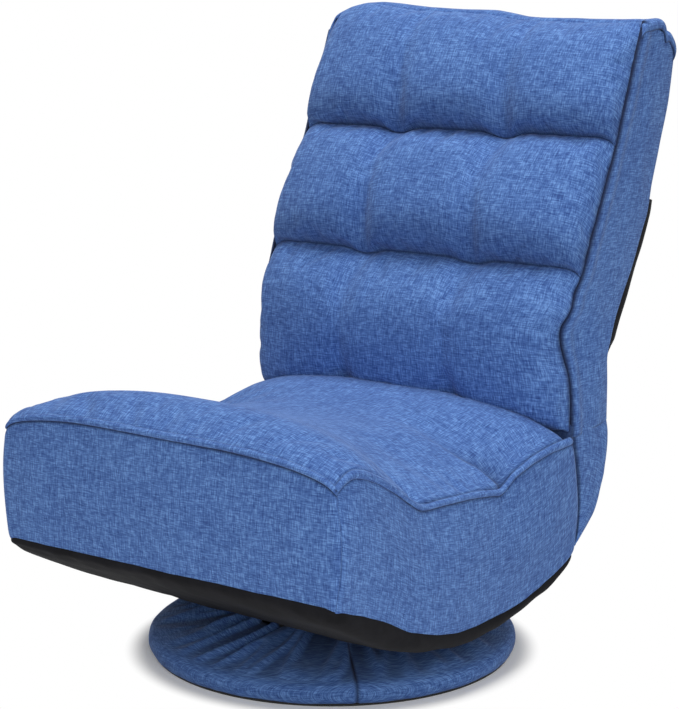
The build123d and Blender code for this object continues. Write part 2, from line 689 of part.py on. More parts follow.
# Back frame, its sling and the foam slab
frame_line = parallel(rear_line, BACK_FRAME_INSET)
foot_way = direction(frame_line[0], frame_line[1])
top_way = direction(frame_line[2], frame_line[3])
frame_line[0] = moved(frame_line[0], foot_way, BACK_FRAME_LIFT)
frame_line[3] = moved(frame_line[3], top_way, -BACK_FRAME_DROP)
frame_bends = [BACK_FRAME_BEND, BACK_FRAME_BEND]
export("back_frame", bent_tube(list(reversed(frame_line)), frame_bends, BACK_FRAME_CORNER))
back_sling = band(frame_line, frame_bends, sling_low, sling_high)
export("back_sling", side_slab(back_sling, -sling_half, sling_half))

slab_front = parallel(roll_line, -ROLL_DEPTH - SOFT_GAP)
slab_front[-1] = moved(slab_front[-1], top_up, -SOFT_GAP)
slab_rear = bent_line(frame_line, frame_bends, sling_high + SOFT_GAP)
slab_edges = [Line(a, b) for a, b in zip(slab_front, slab_front[1:])]
slab_edges += slab_rear.edges()
slab_edges.append(Line(slab_front[0], slab_rear @ 0))
slab_edges.append(Line(slab_front[-1], slab_rear @ 1))
export("back_foam", side_slab(make_face(slab_edges), -inner_half, inner_half) - hinge_room)

# Ratchet hinge: cheek plates on the seat tube, toothed plate on the back tube
cheek_inner = tube_radius + CHEEK_PLAY
cheek_outer = cheek_inner + CHEEK_THICKNESS
pawl_pin = (HINGE_Y - PAWL_REACH, HINGE_Z - PAWL_DROP)
tab_center = halfway(rail_points[-1], halfway(rail_points[-1], rail_points[-2]))
pawl_nose = (HINGE_Y, HINGE_Z - RATCHET_RADIUS - 2 * PAWL_NOSE)
pawl_taper = asin((PAWL_BOSS - PAWL_NOSE) / hypot(pawl_nose[0] - pawl_pin[0], pawl_nose[1] - pawl_pin[1]))
pawl_edge = atan2(pawl_nose[1] - pawl_pin[1], pawl_nose[0] - pawl_pin[0]) + pawl_taper
below_pawl = moved(pawl_pin, (sin(pawl_edge), -cos(pawl_edge)), PAWL_BOSS + SOFT_GAP + SPRING_PIN)
spring_pin = moved(below_pawl, (cos(pawl_edge), sin(pawl_edge)), PAWL_BOSS + SPRING_PIN)


def rounded_bar(ends):
    """Hull of circles in the side view."""
    circles = [(Pos(*center) * Circle(radius)).edge() for center, radius in ends]
    return make_hull(circles)


def released(face):
    """A side view of the pawl, turned from engaged to released."""
    return Pos(*pawl_pin) * Rot(0, 0, -PAWL_LIFT) * Pos(-pawl_pin[0], -pawl_pin[1]) * face


def at_tube(face, side, low, high):
    """A plate beside the tube's middle plane, on one side of the chair."""
    return side_slab(face, *span(side, rail_x + low, rail_x + high))


cheek = rounded_bar([(hinge, CHEEK_RADIUS), (pawl_pin, PAWL_BOSS + CHEEK_RIM), (tab_center, CHEEK_TAB)])
for center, radius in ((hinge, HINGE_PIN), (pawl_pin, PAWL_PIN)):
    cheek -= Pos(*center) * Circle(radius + RUNNING_PLAY)
cheek -= released(Pos(*spring_pin) * Circle(SPRING_PIN + RUNNING_PLAY))
cheeks = []
for side in sides:
    cheeks.append(at_tube(cheek, side, cheek_inner, cheek_outer))
    cheeks.append(at_tube(cheek, side, -cheek_outer, -cheek_inner))
export("hinge_cheeks", Compound(children=cheeks))


def rivet_between(center, radius, head, side):
    """Rivet across both cheek plates with a head on each."""
    shank = at_tube(Pos(*center) * Circle(radius), side, -cheek_outer, cheek_outer)
    cap = Pos(*center) * Circle(head)
    shank += at_tube(cap, side, cheek_outer, cheek_outer + HEAD_THICKNESS)
    return shank + at_tube(cap, side, -cheek_outer - HEAD_THICKNESS, -cheek_outer)


export("hinge_rivets", both_sides(lambda side: rivet_between(hinge, HINGE_PIN, HINGE_PIN_HEAD, side)))
export("pawl_rivets", both_sides(lambda side: rivet_between(pawl_pin, PAWL_PIN, PAWL_PIN_HEAD, side)))

half_ratchet = RATCHET_THICKNESS / 2
spacer = Pos(*hinge) * (Circle(HINGE_PIN + SPACER_WALL) - Circle(HINGE_PIN + RUNNING_PLAY))
spacers = []
for side in sides:
    spacers.append(at_tube(spacer, side, half_ratchet + RUNNING_PLAY, cheek_inner - RUNNING_PLAY))
    spacers.append(at_tube(spacer, side, RUNNING_PLAY - cheek_inner, -half_ratchet - RUNNING_PLAY))
export("hinge_spacers", Compound(children=spacers))


def tooth(tip_radius, base_radius, angle):
    """V tooth that points at the hinge axis."""
    half = (base_radius - tip_radius) * tan(radians(TOOTH_HALF_ANGLE))
    outline = [(tip_radius, 0), (base_radius, half), (base_radius, -half)]
    return Pos(*hinge) * Rot(0, 0, angle) * make_face(Polyline(*outline, close=True))


tongue_half = sqrt((tube_radius - TUBE_WALL) ** 2 - half_ratchet ** 2) - RUNNING_PLAY
tongue_low = frame_line[0]
tongue_high = moved(tongue_low, foot_way, TONGUE_LENGTH)
across = (foot_way[1], -foot_way[0])
tongue_end = [moved(tongue_high, across, tongue_half), moved(tongue_high, across, -tongue_half)]
tongue_foot = [moved(tongue_low, across, -tongue_half), moved(tongue_low, across, tongue_half)]
ratchet = Pos(*hinge) * Circle(RATCHET_RADIUS)
arm_front = (HINGE_Y - ARM_FRONT_AHEAD, HINGE_Z + ARM_FRONT_ABOVE)
arm_rear = (HINGE_Y + ARM_REAR_BEHIND, HINGE_Z - ARM_REAR_BELOW)
arm = Polyline(*tongue_end, tongue_foot[0], arm_front, arm_rear, tongue_foot[1], close=True)
ratchet += make_face(arm)
ratchet -= Pos(*hinge) * Circle(HINGE_PIN + RUNNING_PLAY)
first_tooth = 270 - 2 * TOOTH_PITCH
for index in range(TOOTH_COUNT):
    ratchet -= tooth(RATCHET_RADIUS - TOOTH_DEPTH, RATCHET_RADIUS + 1, first_tooth + index * TOOTH_PITCH)
export("ratchet_plates", both_sides(lambda side: at_tube(ratchet, side, -half_ratchet, half_ratchet)))


def pawl_arm(growth):
    """Side view of the engaged pawl's arm, grown by a margin."""
    return rounded_bar([(pawl_pin, PAWL_BOSS + growth), (pawl_nose, PAWL_NOSE + growth)])


pawl_tip = tooth(RATCHET_RADIUS - TOOTH_DEPTH + PAWL_PLAY, RATCHET_RADIUS + PAWL_NOSE, 270)
boss_reach = cheek_inner - RUNNING_PLAY
for node, side in (("pawl_left", -1), ("pawl_right", 1)):
    body = at_tube(released(pawl_arm(0)), side, -half_ratchet, half_ratchet)
    body += at_tube(released(pawl_tip), side, -half_ratchet, half_ratchet)
    body += at_tube(Pos(*pawl_pin) * Circle(PAWL_BOSS - BOSS_STEP), side, -boss_reach, boss_reach)
    body -= at_tube(Pos(*pawl_pin) * Circle(PAWL_PIN + RUNNING_PLAY), side, -TUBE, TUBE)
    export(node, body)

leaf = pawl_arm(SOFT_GAP + SPRING_LEAF) - pawl_arm(SOFT_GAP)
leaf_length = PAWL_REACH - PAWL_BOSS - PAWL_NOSE
leaf_window = Pos(pawl_pin[0] + PAWL_BOSS + leaf_length / 2, pawl_pin[1] - 2 * PAWL_BOSS)
leaf = released(leaf & leaf_window * Rectangle(leaf_length, 2 * PAWL_BOSS))
leaf_pin = released(Pos(*spring_pin) * Circle(SPRING_PIN))


def pawl_spring(side):
    """Leaf under the pawl, fixed to a pin across the cheek plates."""
    pin = at_tube(leaf_pin, side, -cheek_outer, cheek_outer)
    return pin + at_tube(leaf, side, -half_ratchet, half_ratchet)


export("pawl_springs", both_sides(pawl_spring))
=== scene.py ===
# %% [markdown]
# # Swivel floor chair with a reclining padded back
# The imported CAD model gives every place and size, in metres. This lesson dresses it: each
# soft CAD solid is replaced by a sewn and filled piece, each steel part keeps its shape and
# gets a real finish. Lengths are written in millimetres, as an upholsterer would say them.

import bpy
import numpy as np
from mathutils import Matrix, Vector, noise


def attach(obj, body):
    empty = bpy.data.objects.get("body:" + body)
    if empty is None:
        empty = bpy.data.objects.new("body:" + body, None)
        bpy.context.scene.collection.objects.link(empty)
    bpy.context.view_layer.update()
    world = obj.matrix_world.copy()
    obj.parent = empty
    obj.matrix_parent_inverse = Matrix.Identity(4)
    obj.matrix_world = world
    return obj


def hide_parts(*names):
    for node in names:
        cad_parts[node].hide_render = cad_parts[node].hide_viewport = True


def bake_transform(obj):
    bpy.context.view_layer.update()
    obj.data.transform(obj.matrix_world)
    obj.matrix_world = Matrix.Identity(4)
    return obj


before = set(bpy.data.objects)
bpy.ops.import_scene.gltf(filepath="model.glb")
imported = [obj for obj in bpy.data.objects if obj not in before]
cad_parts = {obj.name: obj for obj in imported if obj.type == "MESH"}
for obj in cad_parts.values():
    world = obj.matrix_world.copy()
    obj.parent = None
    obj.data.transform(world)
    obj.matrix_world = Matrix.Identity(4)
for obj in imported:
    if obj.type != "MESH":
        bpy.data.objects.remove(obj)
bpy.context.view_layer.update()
MM = 0.001

# %% [markdown]
# ## Camera
# The photograph was taken from the chair's front right and a little above the seat. A long
# lens keeps the verticals almost parallel. The place below was solved from the round base,
# the width of the seat and the lean of the back.

# %% Camera at the photograph's viewing angle
AZIMUTH, ELEVATION = np.radians(38.5), np.radians(10.5)
CAMERA_PLACE = (1.4789, -1.8444, 0.8097)
SENSOR_WIDTH, LENS = 36, 99.0
camera = bpy.data.objects.new("camera", bpy.data.cameras.new("camera"))
bpy.context.scene.collection.objects.link(camera)
look_back = Vector((
    np.sin(AZIMUTH) * np.cos(ELEVATION),
    -np.cos(AZIMUTH) * np.cos(ELEVATION),
    np.sin(ELEVATION),
))
look_right = Vector((np.cos(AZIMUTH), np.sin(AZIMUTH), 0))
look_up = look_back.cross(look_right)
turn = Matrix((look_right, look_up, look_back)).transposed()
camera.matrix_world = Matrix.Translation(CAMERA_PLACE) @ turn.to_4x4()
camera.data.sensor_width = SENSOR_WIDTH
camera.data.lens = LENS
bpy.context.scene.camera = camera
print("camera at", [round(v, 3) for v in camera.location])

# %% [markdown]
# ## Nodes and colours
# Every material is a small graph of nodes. One function adds a node, sets it and links it,
# and one function turns the hex colours that painters use into the linear light that a
# renderer needs. The rest are the steps that most finishes share: a soft noise, a row of
# colours for it, and a bump.


# %% Colour and node helpers
def linear(hex_colour):
    """An sRGB hex colour as linear red, green, blue and alpha."""
    parts = [int(hex_colour[k:k + 2], 16) / 255 for k in (1, 3, 5)]
    light = [p / 12.92 if p <= 0.04045 else ((p + 0.055) / 1.055) ** 2.4 for p in parts]
    return (*light, 1.0)


def add(tree, kind, links=(), values=(), **settings):
    """Add a node: settings are its own fields, values fill sockets, links feed sockets."""
    node = tree.nodes.new(kind)
    for name, value in settings.items():
        setattr(node, name, value)
    for socket, value in dict(values).items():
        node.inputs[socket].default_value = value
    for socket, source in dict(links).items():
        tree.links.new(source, node.inputs[socket])
    return node


def new_material(name, values=()):
    """An empty material with its output and one principled shader."""
    material = bpy.data.materials.new(name)
    material.use_nodes = True
    tree = material.node_tree
    tree.nodes.clear()
    shader = add(tree, "ShaderNodeBsdfPrincipled", values=values)
    add(tree, "ShaderNodeOutputMaterial", {"Surface": shader.outputs["BSDF"]})
    return material, tree, shader


def ramp(tree, source, stops):
    """Turn a grey value into colours at the given stops."""
    node = add(tree, "ShaderNodeValToRGB", {"Fac": source})
    elements = node.color_ramp.elements
    while len(elements) < len(stops):
        elements.new(0.5)
    for element, (place, colour) in zip(elements, stops):
        element.position = place
        element.color = linear(colour)
    return node.outputs["Color"]


def grain(tree, place, detail, roughness=0.5):
    """Soft noise between 0 and 1 at a place that is counted in grains."""
    values = {"Scale": 1.0, "Detail": detail, "Roughness": roughness}
    return add(tree, "ShaderNodeTexNoise", {"Vector": place}, values).outputs["Fac"]


def emboss(tree, shader, height, strength, distance):
    """Let a height push the surface in and out by a distance in metres."""
    values = {"Strength": strength, "Distance": distance}
    bump = add(tree, "ShaderNodeBump", {"Height": height}, values)
    tree.links.new(bump.outputs["Normal"], shader.inputs["Normal"])


WHITE = linear("#ffffff")
print("white is", WHITE)

# %% [markdown]
# ## Blue cover cloth
# The cover is a polyester cloth woven to look like linen: thick and thin yarns in two blues,
# so that it shows short pale flecks along the weft and the warp. It is matt, with the faint
# halo that loose fibres give. Real yarns are about 0.6 mm apart, too fine for this picture,
# so the weave is drawn with yarns of 1.0 mm. The pattern follows a point attribute that holds
# the place on the flat cloth in metres, so that the yarns run along each sewn panel.

# %% Linen-look polyester
YARN = 1.0 * MM
FLECK = 9.0 * MM
CLOUD = 60 * MM
OFF_ZERO = (37.37, 19.61, 0.53)


def weave_coordinates(tree, along, across):
    """Place on the cloth in flecks one way and yarns the other, off the noise's dull zero lines."""
    place = add(tree, "ShaderNodeAttribute", attribute_name="cloth")
    scaled = add(
        tree, "ShaderNodeVectorMath", {0: place.outputs["Vector"]},
        {1: (1 / along, 1 / across, 1), 2: OFF_ZERO}, operation="MULTIPLY_ADD",
    )
    return scaled.outputs["Vector"]


def linen(name, dark, middle, pale, painted_shade_colour):
    """Woven polyester in heathered yarns: flecks for colour, yarns for bump, and a painted shade colour
    mixed in by a point attribute.
    """
    material, tree, shader = new_material(name, {
        "Roughness": 0.88, "Specular IOR Level": 0.25, "Sheen Weight": 0.08, "Sheen Roughness": 0.45,
    })
    weft = grain(tree, weave_coordinates(tree, FLECK, YARN), 1.0)
    warp = grain(tree, weave_coordinates(tree, YARN, FLECK), 1.0)
    heather = add(tree, "ShaderNodeMath", {0: weft, 1: warp}, operation="ADD")
    cloud = grain(tree, weave_coordinates(tree, CLOUD, CLOUD), 3.0)
    tone = add(
        tree, "ShaderNodeMath", {0: cloud, 2: heather.outputs["Value"]},
        {1: 0.16}, operation="MULTIPLY_ADD",
    )
    spread = add(
        tree, "ShaderNodeMapRange", {"Value": tone.outputs["Value"]},
        {"From Min": 0.74, "From Max": 1.42},
    )
    heathered = ramp(
        tree, spread.outputs["Result"], ((0.0, dark), (0.5, middle), (1.0, pale))
    )
    # Painted shade: a point attribute mixes the cloth towards a dark colour where shade falls, in seams,
    # creases, channels and slots.
    painted_shade = add(tree, "ShaderNodeAttribute", attribute_name="painted_shade")
    shaded = add(
        tree, "ShaderNodeMix", {"Factor": painted_shade.outputs["Fac"], "A": heathered},
        {"B": linear(painted_shade_colour)}, data_type="RGBA",
    )
    tree.links.new(shaded.outputs["Result"], shader.inputs["Base Color"])
    emboss(tree, shader, heather.outputs["Value"], 0.35, 0.6 * MM)
    return material


# 121a36 is the painted shade colour: a dark blue for seams, creases and slots in shade.
blue_linen = linen("linen_look_polyester_woven", "#2f4c8a", "#4c70b0", "#739cd8", "#121a36")
print("made", blue_linen.name)

# %% [markdown]
# ## Black lining cloth
# The undersides are closed with spun-bonded polypropylene, a thin felt of melted fibres
# pressed together at small dots. It is charcoal rather than black, dull, and a little
# cloudy where the fibres lie thicker. The pressed dots are drawn 2.5 mm apart.

# %% Spun-bonded polypropylene
DOT = 2.5 * MM
WISP = 25 * MM
black_felt, tree, shader = new_material(
    "polypropylene_spun_bonded", {"Roughness": 0.8, "Specular IOR Level": 0.12}
)
felt_cloud = grain(tree, weave_coordinates(tree, WISP, WISP), 5.0, 0.65)
felt_colour = ramp(tree, felt_cloud, ((0.3, "#101013"), (0.7, "#1d1d21")))
tree.links.new(felt_colour, shader.inputs["Base Color"])
dots = add(
    tree, "ShaderNodeTexVoronoi", {"Vector": weave_coordinates(tree, DOT, DOT)},
    {"Scale": 1.0, "Randomness": 0.15},
)
emboss(tree, shader, dots.outputs["Distance"], 0.5, 0.3 * MM)
print("made", black_felt.name)

# %% [markdown]
# ## Steel, rubber and sling
# The frames are bent steel tube with black powder coat, whose skin is faintly pebbled like
# orange peel. Swivel, hinges and bolts are zinc plated: bright, slightly milky metal with a
# soft grain. The foot ring is matt moulded rubber, and the slings are flat polypropylene
# tape woven like a basket.


# %% Finishes of the hidden parts
def solid_place(tree, size):
    """Place in the chair, in units of a size in metres."""
    place = add(tree, "ShaderNodeTexCoord")
    scaled = add(
        tree, "ShaderNodeVectorMath", {0: place.outputs["Object"]},
        {1: (1 / size,) * 3}, operation="MULTIPLY",
    )
    return scaled.outputs["Vector"]


def hard_finish(name, stops, pebble, depth, roughness, metallic):
    """A finish with a cloudy colour, a fine bump and a roughness that varies a little."""
    material, tree, shader = new_material(name, {"Metallic": metallic})
    cloud = grain(tree, solid_place(tree, 12 * pebble), 4.0)
    tree.links.new(ramp(tree, cloud, stops), shader.inputs["Base Color"])
    emboss(tree, shader, grain(tree, solid_place(tree, pebble), 2.0), 0.4, depth)
    dull = add(
        tree, "ShaderNodeMapRange", {"Value": cloud},
        {"To Min": roughness - 0.08, "To Max": roughness + 0.08},
    )
    tree.links.new(dull.outputs["Result"], shader.inputs["Roughness"])
    return material


powder_coat = hard_finish(
    "steel_powder_coated", ((0.3, "#1b1b1d"), (0.7, "#242427")), 1.2 * MM, 0.15 * MM, 0.45, 0.0
)
zinc_plate = hard_finish(
    "steel_zinc_plated", ((0.3, "#aeb2b8"), (0.7, "#c9ccd0")), 2.0 * MM, 0.05 * MM, 0.34, 1.0
)
foot_rubber = hard_finish(
    "rubber_moulded", ((0.3, "#161616"), (0.7, "#202020")), 0.8 * MM, 0.1 * MM, 0.8, 0.0
)

TAPE = 12 * MM
sling_tape, tree, shader = new_material("polypropylene_tape_woven", {"Roughness": 0.55})
tape_checks = add(
    tree, "ShaderNodeTexChecker", {"Vector": weave_coordinates(tree, TAPE, TAPE)},
    {"Scale": 1.0, "Color1": linear("#55585c"), "Color2": linear("#43464a")},
)
tree.links.new(tape_checks.outputs["Color"], shader.inputs["Base Color"])
emboss(tree, shader, tape_checks.outputs["Fac"], 0.5, 0.4 * MM)
print("made", powder_coat.name, zinc_plate.name, foot_rubber.name, sling_tape.name)

# %% [markdown]
# ## Grids
# A sewn panel is easiest to describe as a grid: rows one way, columns the other, each point
# where the cloth passes. A second grid behind the first closes the panel into a solid pad.
# Seen from outside, columns run to the right and rows run up.


# %% Lines and grids
def placed(x, y, z):
    """Points from their three coordinates, any of which may be a single number."""
    return np.stack(np.broadcast_arrays(x, y, z), axis=-1)


def walked(points):
    """Distance walked along a line, at each of its points."""
    steps = np.linalg.norm(np.diff(points, axis=0), axis=1)
    return np.concatenate([[0.0], np.cumsum(steps)])


FINE = 601


def even_line(points, count, rounding=0.0):
    """Even stations along a line through corners that are rounded over some millimetres."""
    points = np.array(points, float)
    for pass_count in (FINE, count):
        at = walked(points)
        wanted = np.linspace(0, at[-1], pass_count)
        points = np.stack([np.interp(wanted, at, column) for column in points.T], axis=1)
        if pass_count == FINE:
            step = at[-1] / (pass_count - 1)
            for _ in range(int(2 * (rounding / step) ** 2)):
                points[1:-1] = (points[:-2] + 2 * points[1:-1] + points[2:]) / 4
    return points


def normals(grid, ring=False):
    """Outward direction at each point of a grid."""
    along = np.gradient(grid, axis=0)
    if ring:
        across = np.roll(grid, -1, axis=1) - np.roll(grid, 1, axis=1)
    else:
        across = np.gradient(grid, axis=1)
    out = np.cross(across, along)
    return out / np.maximum(np.linalg.norm(out, axis=2, keepdims=True), 1e-9)


def raised(grid, height, ring=False):
    """A grid that is pushed outward by a height at each point."""
    return grid + normals(grid, ring) * height[..., None]


def flat_cloth(grid):
    """Place on the flat cloth: distance walked along the rows and up the columns."""
    across = np.stack([walked(row) for row in grid])
    across -= across[:, grid.shape[1] // 2][:, None]
    along = np.stack([walked(column) for column in grid.transpose(1, 0, 2)], axis=1)
    return placed(across, along, 0.0)


def mirrored(grid):
    """The same panel on the other side of the chair, still facing outward."""
    return (grid * (-1, 1, 1))[:, ::-1]


def wrinkle(points, size, seed):
    """Smooth noise between -1 and 1 at each point, with hollows about a size apart."""
    flat = points.reshape(-1, 3) / size + (seed * 17.3, seed * 5.1, seed * 9.7)
    return np.array([noise.noise(Vector(p)) for p in flat]).reshape(points.shape[:-1])


def numbered(grid, ring=False):
    """Vertex numbers of a grid, with the first column again at the end of a ring."""
    index = np.arange(grid.shape[0] * grid.shape[1]).reshape(grid.shape[:2])
    return np.concatenate([index, index[:, :1]], axis=1) if ring else index


def quads(index):
    """Faces of a grid of vertex numbers."""
    four = (index[:-1, :-1], index[:-1, 1:], index[1:, 1:], index[1:, :-1])
    return np.stack([corner.ravel() for corner in four], axis=1)


print("a line of", len(even_line([(0, 0), (10, 0), (10, 10)], 9, 2)), "stations")


# %% Closed pads and sheets
def pad(name, outer, inner, ring=False, painted_shade=None, smooth=1, laid=None):
    """A closed piece from an outer and an inner grid, in millimetres."""
    index = numbered(outer, ring)
    rim = [np.stack([index[0, :-1], index[0, 1:]], axis=1)]
    rim.append(np.stack([index[-1, 1:], index[-1, :-1]], axis=1))
    if not ring:
        rim.append(np.stack([index[:-1, -1], index[1:, -1]], axis=1))
        rim.append(np.stack([index[1:, 0], index[:-1, 0]], axis=1))
    rim = np.concatenate(rim)
    behind = outer.shape[0] * outer.shape[1]
    front = quads(index)
    edge = np.stack([rim[:, 1], rim[:, 0], rim[:, 0] + behind, rim[:, 1] + behind], axis=1)
    faces = np.concatenate([front, front[:, ::-1] + behind, edge])
    points = np.concatenate([outer.reshape(-1, 3), inner.reshape(-1, 3)]) * MM
    mesh = bpy.data.meshes.new(name)
    mesh.from_pydata(points.tolist(), [], faces.tolist())
    laid = flat_cloth(outer) if laid is None else laid
    place = np.concatenate([laid.reshape(-1, 3)] * 2) * MM
    cloth = mesh.attributes.new("cloth", "FLOAT_VECTOR", "POINT")
    cloth.data.foreach_set("vector", place.astype(np.float32).ravel())
    # Painted shade: a grid from 0 to 1 that darkens the cloth's colour where shade falls.
    depth = np.zeros(outer.shape[:2]) if painted_shade is None else painted_shade
    shade = mesh.attributes.new("painted_shade", "FLOAT", "POINT")
    shade.data.foreach_set("value", np.tile(depth.ravel(), 2).astype(np.float32))
    piece = bpy.data.objects.new(name, mesh)
    bpy.context.scene.collection.objects.link(piece)
    if smooth:
        rounder = piece.modifiers.new("round", "SUBSURF")
        rounder.levels = smooth
        settled = piece.evaluated_get(bpy.context.evaluated_depsgraph_get())
        piece.data = bpy.data.meshes.new_from_object(settled)
        piece.modifiers.clear()
        bpy.data.meshes.remove(mesh)
        piece.data.name = name
    piece.data.polygons.foreach_set("use_smooth", [True] * len(piece.data.polygons))
    return piece


def sheet(name, grid, thickness, ring=False, painted_shade=None, smooth=1):
    """A thin cloth from one grid: its inner face lies a thickness behind its outer face."""
    return pad(name, grid, grid - normals(grid, ring) * thickness, ring, painted_shade, smooth)


def painted_shade_lines(grid, rows=(), columns=()):
    """Painted shade of a grid: so dark along some rows, and then along some columns."""
    painted_shade = np.zeros(grid.shape[:2])
    for row, dark in dict(rows).items():
        painted_shade[row] = dark
    for column, dark in dict(columns).items():
        painted_shade[:, column] = dark
    return painted_shade


print("a grid of 3 x 4 points has", len(quads(numbered(np.zeros((3, 4, 3))))), "faces")

# %% [markdown]
# ## Sewing
# A finished piece carries more than its shape. It gets a finish, it moves with one body of the
# chair, it takes the place of a CAD node, and a sheet also prints how large its cut is. All
# sheets are sewn by the same few lines.

# %% Dress and sew
BLUE, BLACK = (blue_linen, "blue_weave"), (black_felt, "black_nonwoven")
WEBBING = (sling_tape, "webbing")
LINED, SOFT, THIN = 2.5, 1.5, 1.2


def dress(piece, body, material, slot, *stands_for):
    """Give a piece its finish, the body that it moves with and the CAD nodes it replaces."""
    piece.data.materials.clear()
    piece.data.materials.append(material)
    if body:
        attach(piece, body)
    if stands_for:
        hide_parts(*stands_for)


def cut_area(grid, ring=False):
    """Width, length and area of the flat cloth in metres."""
    a, b, c, d = grid.reshape(-1, 3)[quads(numbered(grid, ring)).T]
    area = np.linalg.norm(np.cross(c - a, d - b), axis=1).sum() / 2 * MM * MM
    width = max(walked(row)[-1] for row in grid) * MM
    length = max(walked(column)[-1] for column in grid.transpose(1, 0, 2)) * MM
    return width, length, min(area, width * length)


def declare(piece, grid, rests_on, held="stretched", flat=None, ring=False):
    """Print the width, length and area of a sheet's cut."""
    width, length, area = cut_area(grid, ring)
    print(piece.name, "cut", round(width, 3), "x", round(length, 3), "m, area", round(area, 3))


def sew(name, grid, thickness, body, cloth, node, rests_on, painted_shade=None, smooth=1, ring=False, **cut):
    """Make a sheet in a cloth that replaces a CAD node and rides on its body."""
    piece = sheet(name, grid, thickness, ring, painted_shade, smooth)
    dress(piece, body, *cloth, node)
    declare(piece, grid, rests_on, ring=ring, **cut)


print("cloths", BLUE[1], BLACK[1], WEBBING[1])

# %% [markdown]
# ## Filling
# A padded cover is a sheet that is stitched down along its seams and pushed out by its
# filling. Blender's cloth does the same: stitched points are pinned, a pressure pushes the
# rest outward, and a little slack lets the cloth pucker beside the stitches. The points may
# move only so far, because wadding gives way only so much.

# %% Fill a stitched sheet with a cloth simulation
COVER = {
    "quality": 6, "mass": 0.3, "tension_stiffness": 15, "compression_stiffness": 15,
    "shear_stiffness": 5, "bending_stiffness": 0.5, "use_pressure": True,
}


def filled(grid, stitched, pressure, slack, limit, frames=20):
    """Blow up a stitched grid and give back its settled points."""
    start = grid.reshape(-1, 3) * MM
    mesh = bpy.data.meshes.new("cover_in_work")
    mesh.from_pydata(start.tolist(), [], quads(numbered(grid)).tolist())
    cover = bpy.data.objects.new("cover_in_work", mesh)
    scene = bpy.context.scene
    scene.collection.objects.link(cover)
    pins = cover.vertex_groups.new(name="stitched")
    pins.add(np.flatnonzero(stitched.ravel()).tolist(), 1.0, "REPLACE")
    cloth = cover.modifiers.new("cloth", "CLOTH")
    for name, value in COVER.items():
        setattr(cloth.settings, name, value)
    cloth.settings.uniform_pressure_force = pressure
    cloth.settings.shrink_min = -slack
    cloth.settings.vertex_group_mass = "stitched"
    cloth.settings.effector_weights.gravity = 0
    cloth.collision_settings.use_collision = False
    cloth.point_cache.frame_start = 1
    cloth.point_cache.frame_end = frames
    for number in range(1, frames + 1):
        scene.frame_set(number)
    settled = cover.evaluated_get(bpy.context.evaluated_depsgraph_get())
    end = np.empty(len(start) * 3)
    settled.data.vertices.foreach_get("co", end)
    move = end.reshape(-1, 3) - start
    distance = np.maximum(np.linalg.norm(move, axis=1, keepdims=True), 1e-9)
    move *= limit * MM * np.tanh(distance / (limit * MM)) / distance
    bpy.data.objects.remove(cover)
    bpy.data.meshes.remove(mesh)
    scene.frame_set(1)
    return ((start + move) / MM).reshape(grid.shape)


print("filling is", "simulated")

# %% [markdown]
# ## Front of the back
# One cover makes the whole front. Two rows of stitches cross it and part it into three
# rolls, and each row is drawn in deeper at two tufts. The rolls are fuller towards their
# lower ends, because the wadding slides down, so each one hangs over the channel below it.
# The side seams follow the boxing: nearly upright behind the sitter's waist, then leaning.

# %% Seam line of the back
BACK_SEAM = [(164, 283), (159.5, 411.9), (184.9, 478.2), (252.8, 619.8), (313.6, 777.5)]
BACK_REAR = [
    (252, 279), (249, 316), (247, 349), (247, 362), (255, 380), (268, 410), (291, 450), (314, 490),
    (337, 530), (346, 568), (364, 609), (384, 670), (395, 732), (396, 747),
]
BELOW_FOOT, ABOVE_TOP = (164.7, 263), (322.6, 800.8)
seam = even_line([BELOW_FOOT] + BACK_SEAM + [ABOVE_TOP], 570, rounding=13)
seam_at = walked(seam)
seam_way = np.gradient(seam, axis=0)
seam_way /= np.linalg.norm(seam_way, axis=1, keepdims=True)
seam_forward = np.stack([-seam_way[:, 1], seam_way[:, 0]], axis=1)


def ahead(distance, height):
    """Depth and height of a point ahead of the seam line, at a distance from its foot."""
    lines = (*seam.T, *seam_forward.T)
    y, z, way_y, way_z = (np.interp(distance, seam_at, values) for values in lines)
    return y + height * way_y, z + height * way_z


def bell(value, centre, width):
    """A hump of height 1 round a centre."""
    return np.exp(-((value - centre) / width) ** 2)


WAIST, SECOND_PINCH = 400, 448


def waist(z, right=1):
    """How far the side seams are drawn in at the sitter's waist, more on the chair's right."""
    drawn = (4 + 12 * right) * bell(z, WAIST, np.where(z > WAIST, 26, 45))
    return drawn + 5 * right * bell(z, SECOND_PINCH, 16)


foot_at, channel_low, channel_high, top_at = np.interp(
    [283, 478.2, 619.8, 777.5], seam[:, 1], seam_at
)
print("channels", round(channel_low - foot_at), round(channel_high - foot_at), "mm above the foot")

# %% Shapes of rolls, channels and tufts
PAD_HALF = 244.0
TUFT_AT = 85.0


def grows(value, start, length):
    """0 up to a start, then growing evenly to 1 over a length."""
    return np.clip((value - start) / length, 0, 1)


def tufts(x, width):
    """1 at the two tufts of a row, fading over a width."""
    return bell(np.abs(x), TUFT_AT, width)


def channel_line(x, at, dip):
    """A stitched row: dipping at its tufts and into the side seams."""
    return at - dip * tufts(x, 27) - 9 * np.exp((np.abs(x) - PAD_HALF) / 9)


def channel_level(x):
    """How far a stitched row stands ahead of the side seams."""
    return 6 * (1 - np.abs(x / PAD_HALF) ** 6) - 5 * tufts(x, 20)


def roll_shape(t, fullest):
    """Height of a roll from its lower to its upper stitches, fullest at a share of the way."""
    leaned = t ** (np.log(0.5) / np.log(fullest))
    return (1 - np.abs(2 * leaned - 1) ** 2.1) ** (1 / 2.1)


def side_fall(share):
    """How a roll falls away to the side seams."""
    return (1 - np.abs(share) ** 5) ** 0.55


